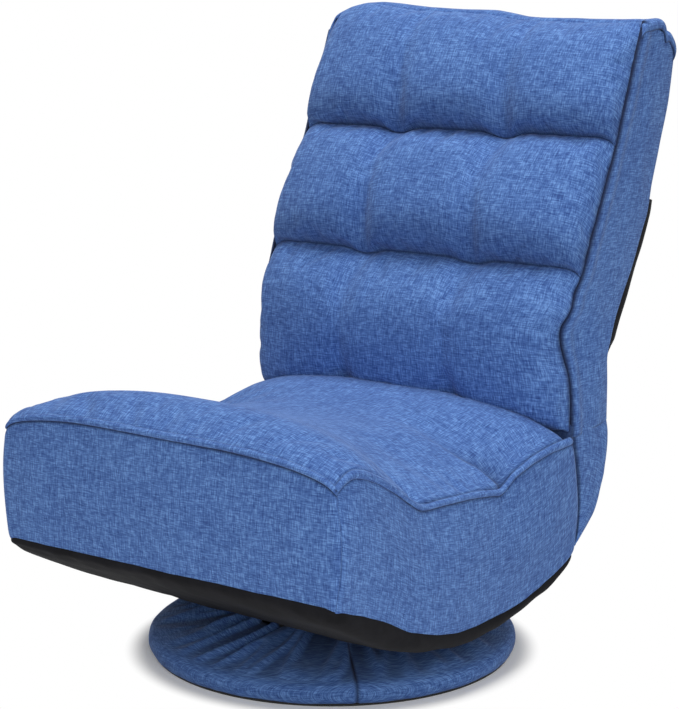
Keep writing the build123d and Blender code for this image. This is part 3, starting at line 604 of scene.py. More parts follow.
def even_shares(shape, width, height, step):
    """Shares from 0 to 1 that are evenly spaced over a bulging profile."""
    share = np.linspace(0, 1, 2001)
    at = walked(np.stack([share * width, shape(share) * height], axis=1))
    return np.interp(np.linspace(0, at[-1], int(at[-1] / step) + 1), at, share)


def both_sides(half):
    """Places from the middle outward, and the same on the other side."""
    return np.concatenate([-half[:0:-1], half])


STEP = 6.0
print("a roll's middle stands at", round(float(roll_shape(0.5, 0.35)), 2), "of its height")

# %% Three rolls, stitched and tufted
shares = both_sides(even_shares(side_fall, PAD_HALF, 30, STEP))
x_flat = shares * PAD_HALF
middle_share = 1 - shares ** 2
TOP_LINE = [
    (-250, -8), (-245, 4), (-232, 13), (-208, 19), (-183, 21), (-104, 13), (-38, 11), (8, 9),
    (55, 2), (149, -1), (225, -1), (250, -2),
]
top_lift = np.interp(x_flat, *even_line(TOP_LINE, 120, rounding=9).T)
stitch_rows = [
    (foot_at - 5 + 6 * middle_share, 0 * x_flat),
    (channel_line(x_flat, channel_low - 2, 5), channel_level(x_flat)),
    (channel_line(x_flat, channel_high + 13, 6.5), channel_level(x_flat)),
    (top_at + top_lift, 0 * x_flat - 7),
]
ROLLS = [(37, 0.30), (39, 0.35), (36, 0.34)]
HANG_LEFT, HANG_RIGHT = -13, 9
overhang = grows(np.abs(shares), 0.8, 0.2) ** 1.6
overhang = np.where(shares < 0, HANG_LEFT, HANG_RIGHT) * np.sin(np.pi * overhang)
front_rows, stitched_rows, shade_under_rolls = [], [0], []
for (low, high), (bulge, fullest) in zip(zip(stitch_rows, stitch_rows[1:]), ROLLS):
    length = np.mean(high[0] - low[0])
    steps = even_shares(lambda t: roll_shape(t, fullest), length, bulge, STEP)
    for t in steps[0 if not front_rows else 1:]:
        s = low[0] + (high[0] - low[0]) * t
        crease = 0.40 * np.exp(-t / 0.28) + 0.1 * np.exp((t - 1) / 0.12)
        # Painted shade on the lower part of each roll, where it hangs over the channel below.
        shade_under_rolls.append(0.3 * max(0, 1 - t / 0.35) * (len(stitched_rows) > 1) + 0 * x_flat)
        full = roll_shape(t, fullest)
        swell = bulge * full * side_fall(shares)
        height = low[1] * (1 - t) + high[1] * t + swell * (1 - crease * tufts(x_flat, 20))
        half = PAD_HALF - waist(ahead(s, 0)[1], shares > 0)
        front_rows.append(placed(shares * half + overhang * full, *ahead(s, height)))
    stitched_rows.append(len(front_rows) - 1)
back_front = np.array(front_rows)
stitched = np.zeros(back_front.shape[:2], bool)
stitched[stitched_rows] = True
stitched[:, [0, -1]] = True
print("front cover", back_front.shape[:2], "points, stitched rows", stitched_rows)

# %% Fill the rolls and close them with the foam behind
back_filled = filled(back_front, stitched, pressure=4, slack=0.03, limit=12)
from_side = PAD_HALF * (1 - np.abs(shares))[None, :]
puckers = wrinkle(back_filled * (0.2, 1, 1), 14, 3) * np.exp(-from_side / 16)
back_filled = back_filled + normals(back_filled) * (puckers * ~stitched)[..., None] * 1.6
FOAM_DEPTH = [(0, 1), (31, 1.5), (38, 20), (90, 40), (149, 42), (377, 72), (544, 54)]
foam_rows = []
for row in back_front:
    s = np.interp(row[:, 2], seam[:, 1], seam_at)
    depth = np.interp(s, *np.array(FOAM_DEPTH).T)
    foam_rows.append(placed(row[:, 0] * 0.985, *ahead(s, -depth)))
# Painted shade on the stitched channels and down both side seams, on top of the painted shade under the
# rolls.
channel_shade = np.array(shade_under_rolls)
channel_shade[stitched_rows[1:3]] = 0.8
channel_shade[:, [0, -1]] = 0.8
laid = placed(x_flat, walked(back_front[:, len(shares) // 2])[:, None], 0.0)
back_pad = pad("back_pad", back_filled, np.array(foam_rows), painted_shade=channel_shade, laid=laid)
dress(
    back_pad, "backrest", *BLUE,
    "back_roll_upper", "back_roll_middle", "back_roll_lower", "back_foam",
)
print("back pad has", len(back_pad.data.vertices), "points")

# %% [markdown]
# ## Boxing of the back
# Boxing is the strip that joins the front of a cushion to its rear. Here its front edge is
# lapped and top-stitched, so a soft ridge about 16 mm wide runs beside the seam's groove,
# which is darkened with painted shade.
# The grid starts inside the seam, climbs over the ridge, dips at the stitches and then runs
# back over thin wadding to the rear edge.

# %% Side boxing
LAP = [
    (0, -5), (0.7, -2), (2.4, 1.4), (5.5, 3.2), (9.5, 3.8), (13, 3.3), (17, 2.1), (20, 1.2),
    (23, 1.0), (26, 1.1), (29, 1.4),
]
TURN_IN = [(6, -0.4), (3.2, -1.2), (1.2, -3.0), (0.4, -6.0)]


def lapped_band(front, rear, x_front, x_rear, puff, count):
    """Right-hand panel with a lapped front edge and a turned-in rear edge."""
    depth = np.linalg.norm(rear - front, axis=1)
    (lap_end, lap_level), (turn_start, turn_level) = LAP[-1], TURN_IN[0]
    columns = [(d / depth, out) for d, out in LAP]
    for q in np.linspace(0, 1, count + 2)[1:-1]:
        d = lap_end + (depth - turn_start - lap_end) * q
        level = lap_level * (1 - q) + turn_level * q
        columns.append((d / depth, level + puff * np.sin(np.pi * q)))
    columns += [(1 - d / depth, out) for d, out in TURN_IN]
    grid = []
    for share, out in columns:
        y, z = (front + (rear - front) * share[:, None]).T
        grid.append(placed(x_front + (x_rear - x_front) * share + out, y, z))
    return np.array(grid).transpose(1, 0, 2)


ROWS = 110
SEAM_HALF, REAR_HALF, LEFT_WIDER = 247.5, 247, 5.5
boxing_front = even_line([(163.6, 272)] + BACK_SEAM, ROWS, rounding=9)
boxing_rear = even_line(BACK_REAR, ROWS, rounding=5)
drawn_in = [waist(boxing_front[:, 1], right) for right in (1, 0)]
front_half = SEAM_HALF - drawn_in[0], SEAM_HALF + LEFT_WIDER - drawn_in[1]
boxing, left_boxing = (
    lapped_band(boxing_front, boxing_rear, half, REAR_HALF, 2.5, 14) for half in front_half
)
# Painted shade along the lapped seam at the front edge and along the lower edge over the gusset.
boxing_shade = painted_shade_lines(boxing, columns={0: 1.0, 1: 0.9, 2: 0.4})
boxing_shade[0] = 0.45
left_boxing = mirrored(left_boxing)
left_boxing -= (grows(left_boxing[..., 2], 640, 130) ** 2)[..., None] * (0, 6, 16)
for side, grid, painted_shade in (
    ("right", boxing, boxing_shade), ("left", left_boxing, boxing_shade[:, ::-1])
):
    ripple = wrinkle(grid * (1, 1, 0.35), 22, 5) + wrinkle(grid, 70, 8) * 1.6
    sew(
        "back_boxing_" + side, raised(grid, ripple), LINED, "backrest", BLUE,
        "back_side_panel_" + side, "back_pad", painted_shade=painted_shade,
    )

# %% [markdown]
# ## Top of the back
# The boxing goes on over the top as a crowned strip. At each end it is folded down over the
# side boxing, which leaves a rounded ear with a pleat under it.

# %% Top boxing with folded ears
TOP_FRONT, TOP_REAR = np.array(BACK_SEAM[-1]), np.array(BACK_REAR[-1])
top_back = TOP_REAR - TOP_FRONT
top_back /= np.linalg.norm(top_back)
top_up = np.array([-top_back[1], top_back[0]])
EAR_RIGHT, EAR_LEFT = [(243, -2), (250, -5), (252, -11), (251, -18)], [(-251, -36), (-252, -22)]
whole_top = EAR_LEFT + TOP_LINE[:-1] + EAR_RIGHT
top_x, top_level = even_line(whole_top, 130, rounding=2.5).T
DEPTH_STEPS = [
    (0, -9), (-1, -5), (0, -1.8), (3, 0.0), (7, 0.8), (14, 1.4), (22, 1.8), (30, 2.0), (37, 2.2),
    (42, 2.2), (46, 2.2), (49, 2.2), (52, 2.0), (55, 2.0), (58, 1.9), (62, 1.7), (68, 1.3), (75, 0.9),
    (81, -0.2), (85, -1.8), (87.6, -5), (87, -9),
]
top_rows = []
ear = grows(np.abs(top_x), 234, 10)
for step, lift in DEPTH_STEPS:
    d = step + 8 * (1 - ear) * max(0, 1 - step / 40)
    inward = np.where(np.abs(top_x) > 246, lift * 0.5, 0) * np.sign(top_x)
    level = top_level - np.maximum(top_level, 0) * grows(d, 35, 45)
    height = level + lift + 11 * np.sin(np.pi * grows(d, 0, 87))
    height += ear * (5 * bell(d, 36, 12) - 8 * bell(d, 53, 4.5))
    y, z = (TOP_FRONT[k] + d * top_back[k] + height * top_up[k] for k in (0, 1))
    top_rows.append(placed(top_x + inward, y, z))
top_grid = np.array(top_rows)
top_grid = raised(top_grid, wrinkle(top_grid, 40, 11) * 1.5)
# Painted shade down both ends, where a pleat lies under each ear.
top_shade = painted_shade_lines(top_grid, columns={0: 0.8, -1: 0.8})
sew(
    "back_top_boxing", top_grid, LINED, "backrest", BLUE, "back_top_panel", "back_pad", painted_shade=top_shade
)

# %% [markdown]
# ## Rear of the back
# Blue cloth covers the upper rear. Below it the rear is only closed with black lining, pulled
# tight from the hem down to the hinge, so it bridges the hollow of the boxing and shows as a
# thin black strip behind it.

# %% Blue rear cloth and black lining
REAR_HEM = (344, 552)
LINING = [
    (246, 279), (243, 330), (246, 352), (262, 371), (271, 377), (277, 390), (286, 408), (308, 447),
    (332, 488), (353, 535), (356, 549),
]


def draped(line, path, side):
    """Grid along a line of depths and heights: each row is a path of places and rises over it."""
    way = np.gradient(line, axis=0)
    way /= np.linalg.norm(way, axis=1, keepdims=True)
    rows = []
    for (y, z), (way_y, way_z) in zip(line, side * way):
        rows.append(placed(path[:, 0], y - way_z * path[:, 1], z + way_y * path[:, 1]))
    return np.array(rows)


def rear_cloth(line, half, edge, puff):
    """Cloth over the rear: rows go up, columns run from the right to the left edge."""
    path = [(half, -edge), (half + 0.5, -edge * 0.4), (half - 1.5, -1), (half - 6, 0.5), (0, puff)]
    path += [(-x, h) for x, h in path[-2::-1]]
    return draped(line, even_line(path, 100, rounding=2), -1)


rear_line = even_line([REAR_HEM] + BACK_REAR[9:], 34, rounding=6)
rear_grid = rear_cloth(rear_line, 244.5, 8, 5)
rear_grid = raised(rear_grid, wrinkle(rear_grid, 60, 21) * 2.2)
sew("back_rear_cloth", rear_grid, 2, "backrest", BLUE, "back_rear_panel", "back_frame")

lining_line = even_line(LINING, 50, rounding=4)
lining_grid = rear_cloth(lining_line, 243.5, 30, -5)
hollow = np.sin(np.pi * np.linspace(0, 1, len(lining_line)))[:, None]
sag = wrinkle(lining_grid * (0.5, 1, 0.4), 45, 25) * 2.5
lining_grid = raised(lining_grid, sag * hollow)
sew(
    "back_rear_lining", lining_grid, THIN, "backrest", BLACK, "back_dust_cover", "back_frame", smooth=0
)

# %% [markdown]
# ## Seat walls
# The seat is a box of cloth walls round its frame. The side walls meet the cushion in a
# lapped seam that waves up over the front roll, is pinched at two places and climbs to the
# back. Below they end at the black tray. The lap is the same soft ridge as on the back.

# %% Lines of the seat
SIDE_SEAM = [
    (-312, 301), (-306, 304), (-298, 312), (-280, 318), (-261, 314), (-235, 303), (-205, 286),
    (-176, 267), (-160, 257), (-148, 254), (-108, 252.5), (-54, 249), (-26, 245.5), (-10, 243), (2, 240.5),
    (12, 246), (30, 256), (70, 267), (110, 273), (159, 275),
]
FRONT_SWEEP, REAR_SWEEP, BELLY = 653.0, 345.0, 66.0


def belly(y, lift):
    """Height of the underside, or of a line inside it."""
    sweep = np.where(y < 0, FRONT_SWEEP, REAR_SWEEP)
    return BELLY + sweep - np.sqrt((sweep - lift) ** 2 - y ** 2)


def hem(y, lift):
    """Height of a line above the underside, which is drawn up towards the front."""
    dropped = 5 * bell(y, -80, 90) - 1.5 * grows(y, 10, 70)
    return belly(y, lift) + 7 * grows(-y, 180, 90) - dropped


def hem_shift(x, y):
    """How far the walls' lower edge strays from that line: down at both ends and on the left."""
    shift = 4 * bell(y, -222, 34) - 5.5 * grows(-y, 260, 46) - 5 * grows(y, 70, 70)
    return shift - (4 - 4 * x / 250) * grows(-y, 300, 8)


def side_seam(y):
    """Height of the side seam at a depth."""
    line = even_line(SIDE_SEAM, 400, rounding=4)
    return np.interp(y, line[:, 0], line[:, 1])


def front_seam(x):
    """Height of the front seam at a place across the seat."""
    return 309 + 21 * (1 - np.abs(x / 255) ** 4) - 8 * np.exp((np.abs(x) - 252) / 7)


print("seat seam from", side_seam(-312), "to", round(float(side_seam(150)), 1), "mm")

# %% Side walls
SEAT_LAP = [
    (0, -4), (0.8, -1.2), (2.0, 1.0), (3.6, 2.1), (5.4, 2.3), (7.0, 1.5), (8.2, 0.1), (9.0, -0.9),
    (9.8, -0.5), (12, 0.6), (16, 1.3),
]
HEM_TURN = [(-1.5, -2.5), (0, -0.6), (3, 0.4), (7, 1.0)]


def wall(low, high, puff, count):
    """Heights and outward offsets of a wall, from its hem to its lapped upper seam."""
    rows = [(low + d, out) for d, out in HEM_TURN]
    turn_end, lap_end = HEM_TURN[-1][0], SEAT_LAP[-1][0]
    for q in np.linspace(0, 1, count + 2)[1:-1]:
        z = low + turn_end + (high - lap_end - low - turn_end) * q
        rows.append((z, 1.0 + puff * np.sin(np.pi * q)))
    rows += [(high - d, out) for d, out in SEAT_LAP[::-1]]
    return rows


def fullness(from_end):
    """How full a wall is at a distance from its upright seam."""
    return np.minimum(1, (from_end / 60) ** 0.6)


SIDE_HALF, WALL_LONG, HEM_LIFT, WALL_ROWS = 252, 474, 20.4, 26
WALL_FRONT, HEM_REAR, SEAM_REAR = -306.5, 168, 157
reach = np.concatenate([[0, 0.004, 0.01, 0.02], np.linspace(0.03, 0.985, 96), [0.993, 1.0]])
y_low, y_high = (WALL_FRONT + (rear - WALL_FRONT) * reach for rear in (HEM_REAR, SEAM_REAR))
ends = np.minimum(reach * WALL_LONG, (1 - reach) * WALL_LONG)
turned = -2.4 * np.exp(-ends / 2.5)
puff_along = 7.5 + fullness(ends) - 5 * np.exp((reach - 1) * WALL_LONG / 45)
side_rows = []
low, high = hem(y_low, HEM_LIFT) + hem_shift(250, y_low), side_seam(y_high)
for z, out in wall(low, high, puff_along, WALL_ROWS):
    share = (z - low) / (high - low)
    y = y_low + (y_high - y_low) * share + 9 * np.sin(np.pi * share) * reach ** 12
    side_rows.append(placed(SIDE_HALF + out + turned, y, z))
side_grid = np.array(side_rows)
left_grid = mirrored(side_grid) - (3, 0, 0)
# Painted shade along the lapped seam at the top, under its ridge, and down the upright seams at both ends.
side_wall_shade = painted_shade_lines(side_grid, {-1: 0.6, -8: 0.9, -9: 0.4}, {0: 0.2, -1: 0.8})
for side, grid, painted_shade in (("right", side_grid, side_wall_shade), ("left", left_grid, side_wall_shade[:, ::-1])):
    ripple = wrinkle(grid * (1, 0.7, 1), 60, 31) * 1.8 + wrinkle(grid, 25, 33) * 0.5
    sew(
        "seat_wall_" + side, raised(grid, ripple), LINED, "seat", BLUE,
        "seat_side_panel_" + side, "seat_pad", painted_shade=painted_shade,
    )

# %% Front wall
FRONT_HALF, FRONT_WALL, FRONT_HEM = 251.3, -309.5, -310.0
half_front = np.concatenate([np.linspace(0, 0.955, 46), [0.97, 0.986, 0.994, 1]])
x_front = both_sides(half_front) * FRONT_HALF
front_ends = FRONT_HALF - np.abs(x_front)
front_turn = -3.0 * np.exp(-front_ends / 3.0)
low, high = hem(FRONT_HEM, HEM_LIFT) + hem_shift(x_front, FRONT_HEM), front_seam(x_front)
front_rows = []
for z, out in wall(low, high, 5.5 * fullness(front_ends), WALL_ROWS):
    swell = 1 + 0.034 * np.sin(np.pi * (z - low) / (high - low)) + 0.012 * (x_front < 0)
    front_rows.append(placed(x_front * swell, FRONT_WALL - out - front_turn, z))
front_grid = np.array(front_rows)
ripple = wrinkle(front_grid * (0.7, 1, 1), 65, 41) * 1.8 + wrinkle(front_grid, 25, 43) * 0.4
front_grid = raised(front_grid, ripple)
# Painted shade along the lapped seam at the top, under its ridge, and down the corner seams.
front_wall_shade = painted_shade_lines(front_grid, {-1: 0.4, -8: 1.0, -9: 0.6}, {0: 0.2, -1: 0.2})
sew(
    "seat_wall_front", front_grid, LINED, "seat", BLUE, "seat_front_panel", "seat_pad", painted_shade=front_wall_shade
)

# %% [markdown]
# ## Seat pad
# The seat is one thick pad: a roll along the front, a dish behind it and a rise to the back.
# Its cover is stitched to the walls all round and filled like the back. A crease runs in from
# each pinch of the side seam, where the cloth is caught.

# %% Crowned and dished seat
CENTRE = [
    (-313, 322), (-300, 333), (-285, 343), (-268, 349), (-250, 350), (-228, 345), (-200, 333), (-150, 316),
    (-100, 304), (-50, 297), (0, 295), (50, 299), (100, 306), (126, 309), (159, 311),
]
SEAT_HALF, SEAT_FRONT, SEAM_END = 250.0, -309, 159
REAR_DROP = [(128, 0), (141, -2), (149, -7), (154, -16), (156, -30)]
y_fall = even_line([(SEAT_FRONT, 0)] + REAR_DROP, 86, rounding=2)


def seat_fall(share):
    """How the seat falls away to its side seams."""
    return (1 - np.abs(share) ** 3) ** 0.8


seat_shares = both_sides(even_shares(seat_fall, SEAT_HALF, 45, STEP))
seat_x = seat_shares * (SEAT_HALF + 3 * (seat_shares < 0))
centre_line = even_line(CENTRE, 300, rounding=14)
seat_rows = []
for y, fall in y_fall:
    line = side_seam(min(y, SEAM_END)) - 1.5
    crown = np.interp(y, centre_line[:, 0], centre_line[:, 1]) - line
    z = line + crown * seat_fall(seat_shares) + fall
    seat_rows.append(placed(seat_x, y, z))
seat_front = np.array(seat_rows)
seat_stitched = np.zeros(seat_front.shape[:2], bool)
seat_stitched[[0, -1]] = True
seat_stitched[:, [0, -1]] = True
seat_filled = filled(seat_front, seat_stitched, pressure=3, slack=0.018, limit=9)
print("seat cover", seat_front.shape[:2], "points")

# %% Puckers, creases and the foam below
inward = SEAT_HALF * (1 - np.abs(seat_shares))[None, :]
from_seam = np.minimum(inward, y_fall[:, :1] - SEAT_FRONT)
puckers = wrinkle(seat_filled, 16, 51) * np.exp(-from_seam / 18) * 1.8
# seat_shade is painted shade: it darkens each pinch's crease, the hollow behind the middle fold and the
# pad's edges.
seat_shade = np.zeros(seat_front.shape[:2])
for pinch, slant, deep, wide in ((-156, -0.3, 12, 9), (-70, 0.3, 5, 8)):
    off = seat_filled[..., 1] - pinch - slant * inward
    puckers -= deep * np.exp(-(off / wide) ** 2 - inward / 34) * np.minimum(1, inward / 8)
    seat_shade += 0.025 * deep * np.exp(-(off / 4) ** 2 - inward / 24)
off = seat_filled[..., 1] - 3 + 0.1 * inward
behind = np.maximum(off, 0)
hangs_over = 3.5 * np.exp(np.minimum(off, 0) / 16) * (off <= 0)
falls_in = 10 * np.exp(-behind / 16) * (1 - np.exp(-behind / 2.5))
reaches_in = np.exp(-(inward / 58) ** 2) * np.minimum(1, inward / 5)
puckers += (hangs_over - falls_in) * reaches_in
# Painted shade in the hollow behind the fold that runs in from the pinch near the seat's middle.
seat_shade += 0.8 * np.exp(-behind / 15) * (off > -1) * reaches_in
seat_filled = raised(seat_filled, puckers * ~seat_stitched)
SLING_TOP = [(-313, 190), (-289, 177), (-200, 135), (-80, 106), (60, 106), (110, 118), (146, 140)]
seat_under = seat_front * (0.99, 1, 0)
seat_under[..., 2] = np.interp(seat_front[..., 1], *np.array(SLING_TOP).T)
seat_under[..., 1] = np.minimum(seat_under[..., 1], 128)
# Painted shade round the pad's edges, where it meets the walls.
seat_shade[0] = seat_shade[-1] = 0.5
seat_shade[:, [0, -1]] = 0.7
seat_pad = pad("seat_pad", seat_filled, seat_under, painted_shade=seat_shade)
dress(seat_pad, "seat", *BLUE, "seat_cushion", "seat_foam")
print("seat pad has", len(seat_pad.data.vertices), "points")

# %% [markdown]
# ## Black tray under the seat
# The underside is closed with the same lining as the rear. It hangs like a shallow tray from
# the hem of the walls, sags a little between its staples, and has a round mouth for the
# swivel. Rings of points run from the hem down, round the edge and in to the mouth.

# %% Tray as rings from hem to mouth
TRAY_HALF, TRAY_FRONT, TRAY_REAR, TRAY_MOUTH = 253.0, -311.0, 168.0, 138.0
CORNER = 12.0
TRAY_EDGE = (
    (9, 29), (0.5, 21), (0.2, 18), (0.6, 15), (2.2, 10.5), (6, 6.5), (11, 3.6), (18, 1.8),
)


def sunk(y):
    """How far the tray sags between its staples."""
    return 5 * bell(y, -150, 80)


corner_x, front_y, rear_y = TRAY_HALF - CORNER, TRAY_FRONT + CORNER, TRAY_REAR - CORNER
outline = []
for centre_x, centre_y, first in (
    (corner_x, front_y, -90), (corner_x, rear_y, 0), (-corner_x, rear_y, 90), (-corner_x, front_y, 180)
):
    for angle in np.radians(first + np.arange(0, 91, 15)):
        outline.append((centre_x + CORNER * np.cos(angle), centre_y + CORNER * np.sin(angle)))
outline = even_line(outline + outline[:1], 241, rounding=0)[:-1]
outline[:, 0] *= 1 + 0.012 * (outline[:, 0] < 0)
turn = np.arctan2(outline[:, 1], outline[:, 0])
mouth = TRAY_MOUTH * np.stack([np.cos(turn), np.sin(turn)], axis=1)
to_mouth = mouth - outline
run = np.linalg.norm(to_mouth, axis=1, keepdims=True)
tray_rows = []
shallow = grows(outline[:, 1], -250, 120)
for inset, lift in TRAY_EDGE:
    x, y = (outline + to_mouth / run * inset).T
    z = hem(y, lift) + (2 * shallow - sunk(y)) * (1 - min(lift, 21) / 21)
    tray_rows.append(placed(x, y, z + hem_shift(x, y) * grows(lift, 4, 14)))
edge_in, edge_lift = TRAY_EDGE[-1]
for share in np.linspace(0.12, 1, 16):
    x, y = (outline + to_mouth / run * (edge_in + (run - edge_in) * share)).T
    lift = (edge_lift + 2 * shallow) * (1 - share) ** 2 - sunk(y)
    tray_rows.append(placed(x, y, hem(y, 0) + lift))
tray_grid = np.array(tray_rows)
loose = np.concatenate([[0, 0, 0.2, 0.5, 1, 1, 1, 1], np.ones(15), [0.3]])[:, None]
tray_sag = wrinkle(tray_grid * (1, 1, 0.6), 30, 61) * 1.8 + wrinkle(tray_grid, 90, 63) * 1.5
tray_grid = raised(tray_grid, tray_sag * loose, ring=True)
sew(
    "seat_tray_lining", tray_grid, THIN, "seat", BLACK, "seat_bottom_cover", "seat_frame",
    ring=True, flat=(0.58, 0.54),
)

# %% [markdown]
# ## Gusset round the hinge
# Between seat and back a loose gusset of blue cloth hides the ratchet hinges.

# %% Gusset as bands round the rear
GUSSET_FRONT = [
    (168, 134), (171, 138), (173.5, 150), (175.5, 178), (173.5, 220), (168, 263), (166, 277),
    (166, 286),
]
GUSSET_REAR = [
    (170, 134), (174, 137), (184, 145), (212, 167), (234, 197), (248, 231), (253, 262), (254, 275),
    (253, 287),
]
GUSSET_ROWS, GUSSET_DEEP = 40, 90
gusset_front = even_line(GUSSET_FRONT, GUSSET_ROWS, rounding=4)
gusset_rear = even_line(GUSSET_REAR, GUSSET_ROWS, rounding=6)
gusset_rows = []
for index, (front, rear) in enumerate(zip(gusset_front, gusset_rear)):
    top = index / (GUSSET_ROWS - 1)
    half = 253.0 - 7.0 * top ** 3 - 4.0 * np.exp(-top / 0.05)
    bend = min(10.0, 0.45 * np.linalg.norm(rear - front) + 0.5)
    plan = [
        (half - 5, 0), (half - 0.6, 0.02), (half, 0.06), (half + 1.5, 0.5), (half, 0.9),
        (half - 4, 0.985), (half - bend, 1.0),
    ]
    plan += [(0, 1.02)] + [(-x, share) for x, share in plan[::-1]]
    path = even_line([(x, share * GUSSET_DEEP) for x, share in plan], 120, rounding=1.2)
    y, z = (front + (rear - front) * (path[:, 1:] / GUSSET_DEEP)).T
    gusset_rows.append(placed(path[:, 0], y, z))
gusset_grid = np.array(gusset_rows)
gusset_sag = wrinkle(gusset_grid, 45, 71) * 2.2 + wrinkle(gusset_grid * (1, 1, 2), 25, 73) * 0.7
gusset_grid = raised(gusset_grid, gusset_sag)
# Painted shade along both front edges, where the gusset tucks in beside the seat and back.
gusset_shade = painted_shade_lines(gusset_grid, columns=dict.fromkeys((0, 1, -2, -1), 0.7))
gusset = sheet("hinge_gusset", gusset_grid, SOFT, painted_shade=gusset_shade)
dress(gusset, None, *BLUE, "rear_gusset")
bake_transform(gusset)
declare(gusset, gusset_grid, "hinge_cheeks", held="hung")

# %% [markdown]
# ## Web between seat and back
# Where the pads meet, a strip of the same cloth closes the slot in front of the hinges. It is
# sewn under both pads. An ear at each end runs back beside the hinge and keeps the slot closed
# when the back lies flat.

# %% Web in the slot
web_line = even_line([(136, 240), (152, 261), (159, 277), (168, 296)], 24, rounding=3)
WEB_EAR = [(243.5, 34), (245, 14), (248.5, 0)]
web_path = [(-x, back) for x, back in WEB_EAR] + WEB_EAR[::-1]
web_x, web_back = even_line(web_path, 90, rounding=1.5).T
web_grid = np.array([placed(web_x, y + web_back, z) for y, z in web_line])
# Painted shade over the whole web, so the slot between the pads reads dark.
web = sheet("slot_web", web_grid, THIN, painted_shade=np.full(web_grid.shape[:2], 0.75), smooth=0)
dress(web, None, *BLUE)
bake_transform(web)
declare(web, web_grid, "seat_pad")

# %% [markdown]
# ## Base cover
# The round base is a steel hoop under a cover of the same blue cloth. Its outer edge is pulled
# round the hoop and its inner edge is gathered round the swivel, so folds run from the hub
# towards the rim and die away before they reach it. One seam closes the ring at the front.


# %% Gathered cover
def circle(radius, z, angles):
    """A ring of points."""
    return placed(radius * np.cos(angles), radius * np.sin(angles), z)


HOOP, HOOP_HIGH, COVER_ROUND, COVER_SLOPE, GATHER = 218.5, 15.8, 12.9, np.radians(12.0), 112.0
SEAM_ANGLE, SWIRL, FOLD_HIGH = np.radians(-44.0), 0.0012, 9.5
around = SEAM_ANGLE + np.linspace(0, 2 * np.pi, 361)[:-1]
profile = []
for angle in np.radians(np.linspace(-88, 78, 15)):
    below = angle < 0
    wide = COVER_ROUND * np.cos(angle) ** (0.5 if below else 1)
    high = (HOOP_HIGH - 2.4 if below else COVER_ROUND) * np.sin(angle)
    profile.append((HOOP + wide, HOOP_HIGH + high))
top_r, top_z = profile[-1]
for share in np.linspace(0, 1, 26)[1:]:
    r = top_r + (GATHER - top_r) * share
    profile.append((r, top_z + (top_r - r) * np.tan(COVER_SLOPE)))
cover_grid = np.array([circle(r, z, around) for r, z in profile])
radius = np.array(profile)[:, :1]
gathered = grows(HOOP + 2, radius, HOOP - GATHER) ** 0.4
swirl = circle(100, radius * 0.12, around + SWIRL * radius)
folds = 1 - 3 * np.abs(wrinkle(swirl, 17, 81)) + 0.7 * wrinkle(swirl, 8, 83)
rim = wrinkle(cover_grid, 30, 85) * 0.8
seam_gap = np.minimum(np.arange(360), 360 - np.arange(360))[None, :]
seam_line = bell(seam_gap, 0, 0.5)
lift = np.maximum(folds, 0) * gathered * FOLD_HIGH + rim * (1 - gathered) - seam_line * (1 - gathered)
cover_grid = raised(cover_grid, lift, ring=True)
# Painted shade in the seam's groove and in the valleys between the gathered folds.
cover_shade = 0.75 * seam_line + 0.6 * gathered * np.clip(0.5 - folds, 0, 1)
sew(
    "base_cloth_cover", cover_grid, THIN, "base", BLUE, "base_cover", "base_ring",
    painted_shade=cover_shade, smooth=0, ring=True, flat=(0.53, 0.53), held="gathered",
)

# %% Bottom cloth of the base
BOTTOM_HIGH = 3.6
bottom_grid = np.array([circle(r, BOTTOM_HIGH, around[::3]) for r in np.linspace(216, 12, 22)])
bottom_grid[..., 2] += wrinkle(bottom_grid, 50, 91) * 0.5
sew(
    "base_bottom_lining", bottom_grid, 1.0, "base", BLACK, "base_bottom_cloth", "base_ring",
    smooth=0, ring=True, flat=(0.432, 0.432),
)

# %% [markdown]
# ## Slings
# Under the foam a woven sling is stretched over each tube frame, sags a little between its
# rails and curls down over their outer sides. Both slings are hidden in the finished chair,
# and they carry the sitter.

# %% Seat and back slings
SLING_HALF = 226.0
sling_path = [(-SLING_HALF, -9), (-SLING_HALF + 2, -3), (-SLING_HALF + 8, 0), (0, -2)]
sling_path += [(-x, h) for x, h in sling_path[-2::-1]]
sling_path = even_line(sling_path, 80, rounding=3)
seat_line = even_line([(-284, 173), (-80, 103.5), (60, 103.5), (118, 121)], 50, rounding=40)
back_line = even_line([(211, 296), (207, 396), (322, 571), (362, 722)], 60, rounding=22)
for part, body, line in (("seat", "seat", even_line(seat_line, 50)), ("back", "backrest", back_line)):
    sew(
        part + "_sling_tape", draped(line, sling_path, 1), SOFT, body, WEBBING,
        part + "_sling", part + "_frame", smooth=0,
    )
print("slings are", 2 * SLING_HALF, "mm wide")

# %% [markdown]
# ## Steel parts
# These CAD nodes already have the right shape. Only their material slots change.

# %% Finishes of the CAD nodes
FINISHES = {
    powder_coat: [
        "base_ring", "base_spokes", "seat_frame", "back_frame", "seat_cross_bars", "swivel_ball_cage",
    ],
    zinc_plate: [
        "base_hub_plate", "swivel_lower_plate", "swivel_upper_plate", "swivel_rivet", "base_bolts",
        "swivel_balls", "seat_mount_plate", "seat_bolts", "hinge_cheeks", "hinge_rivets",
        "hinge_spacers", "pawl_rivets", "pawl_springs", "pawl_left", "pawl_right", "ratchet_plates",
    ],
    foot_rubber: ["base_foot_ring"],
}
for finish, nodes in FINISHES.items():
    for node in nodes:
        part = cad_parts[node]
        if not part.material_slots:
            part.data.materials.append(finish)
        for place in part.material_slots:
            place.material = finish
    print(finish.name, "on", len(nodes), "nodes")

# %% [markdown]
# ## Studio
# The chair stands on a white sweep under large soft lamps, one overhead and one beside the
# camera. Light that goes straight to the camera sees plain white, so the background is white
# without pouring more light on the chair, and the floor keeps the soft shadow of the base.


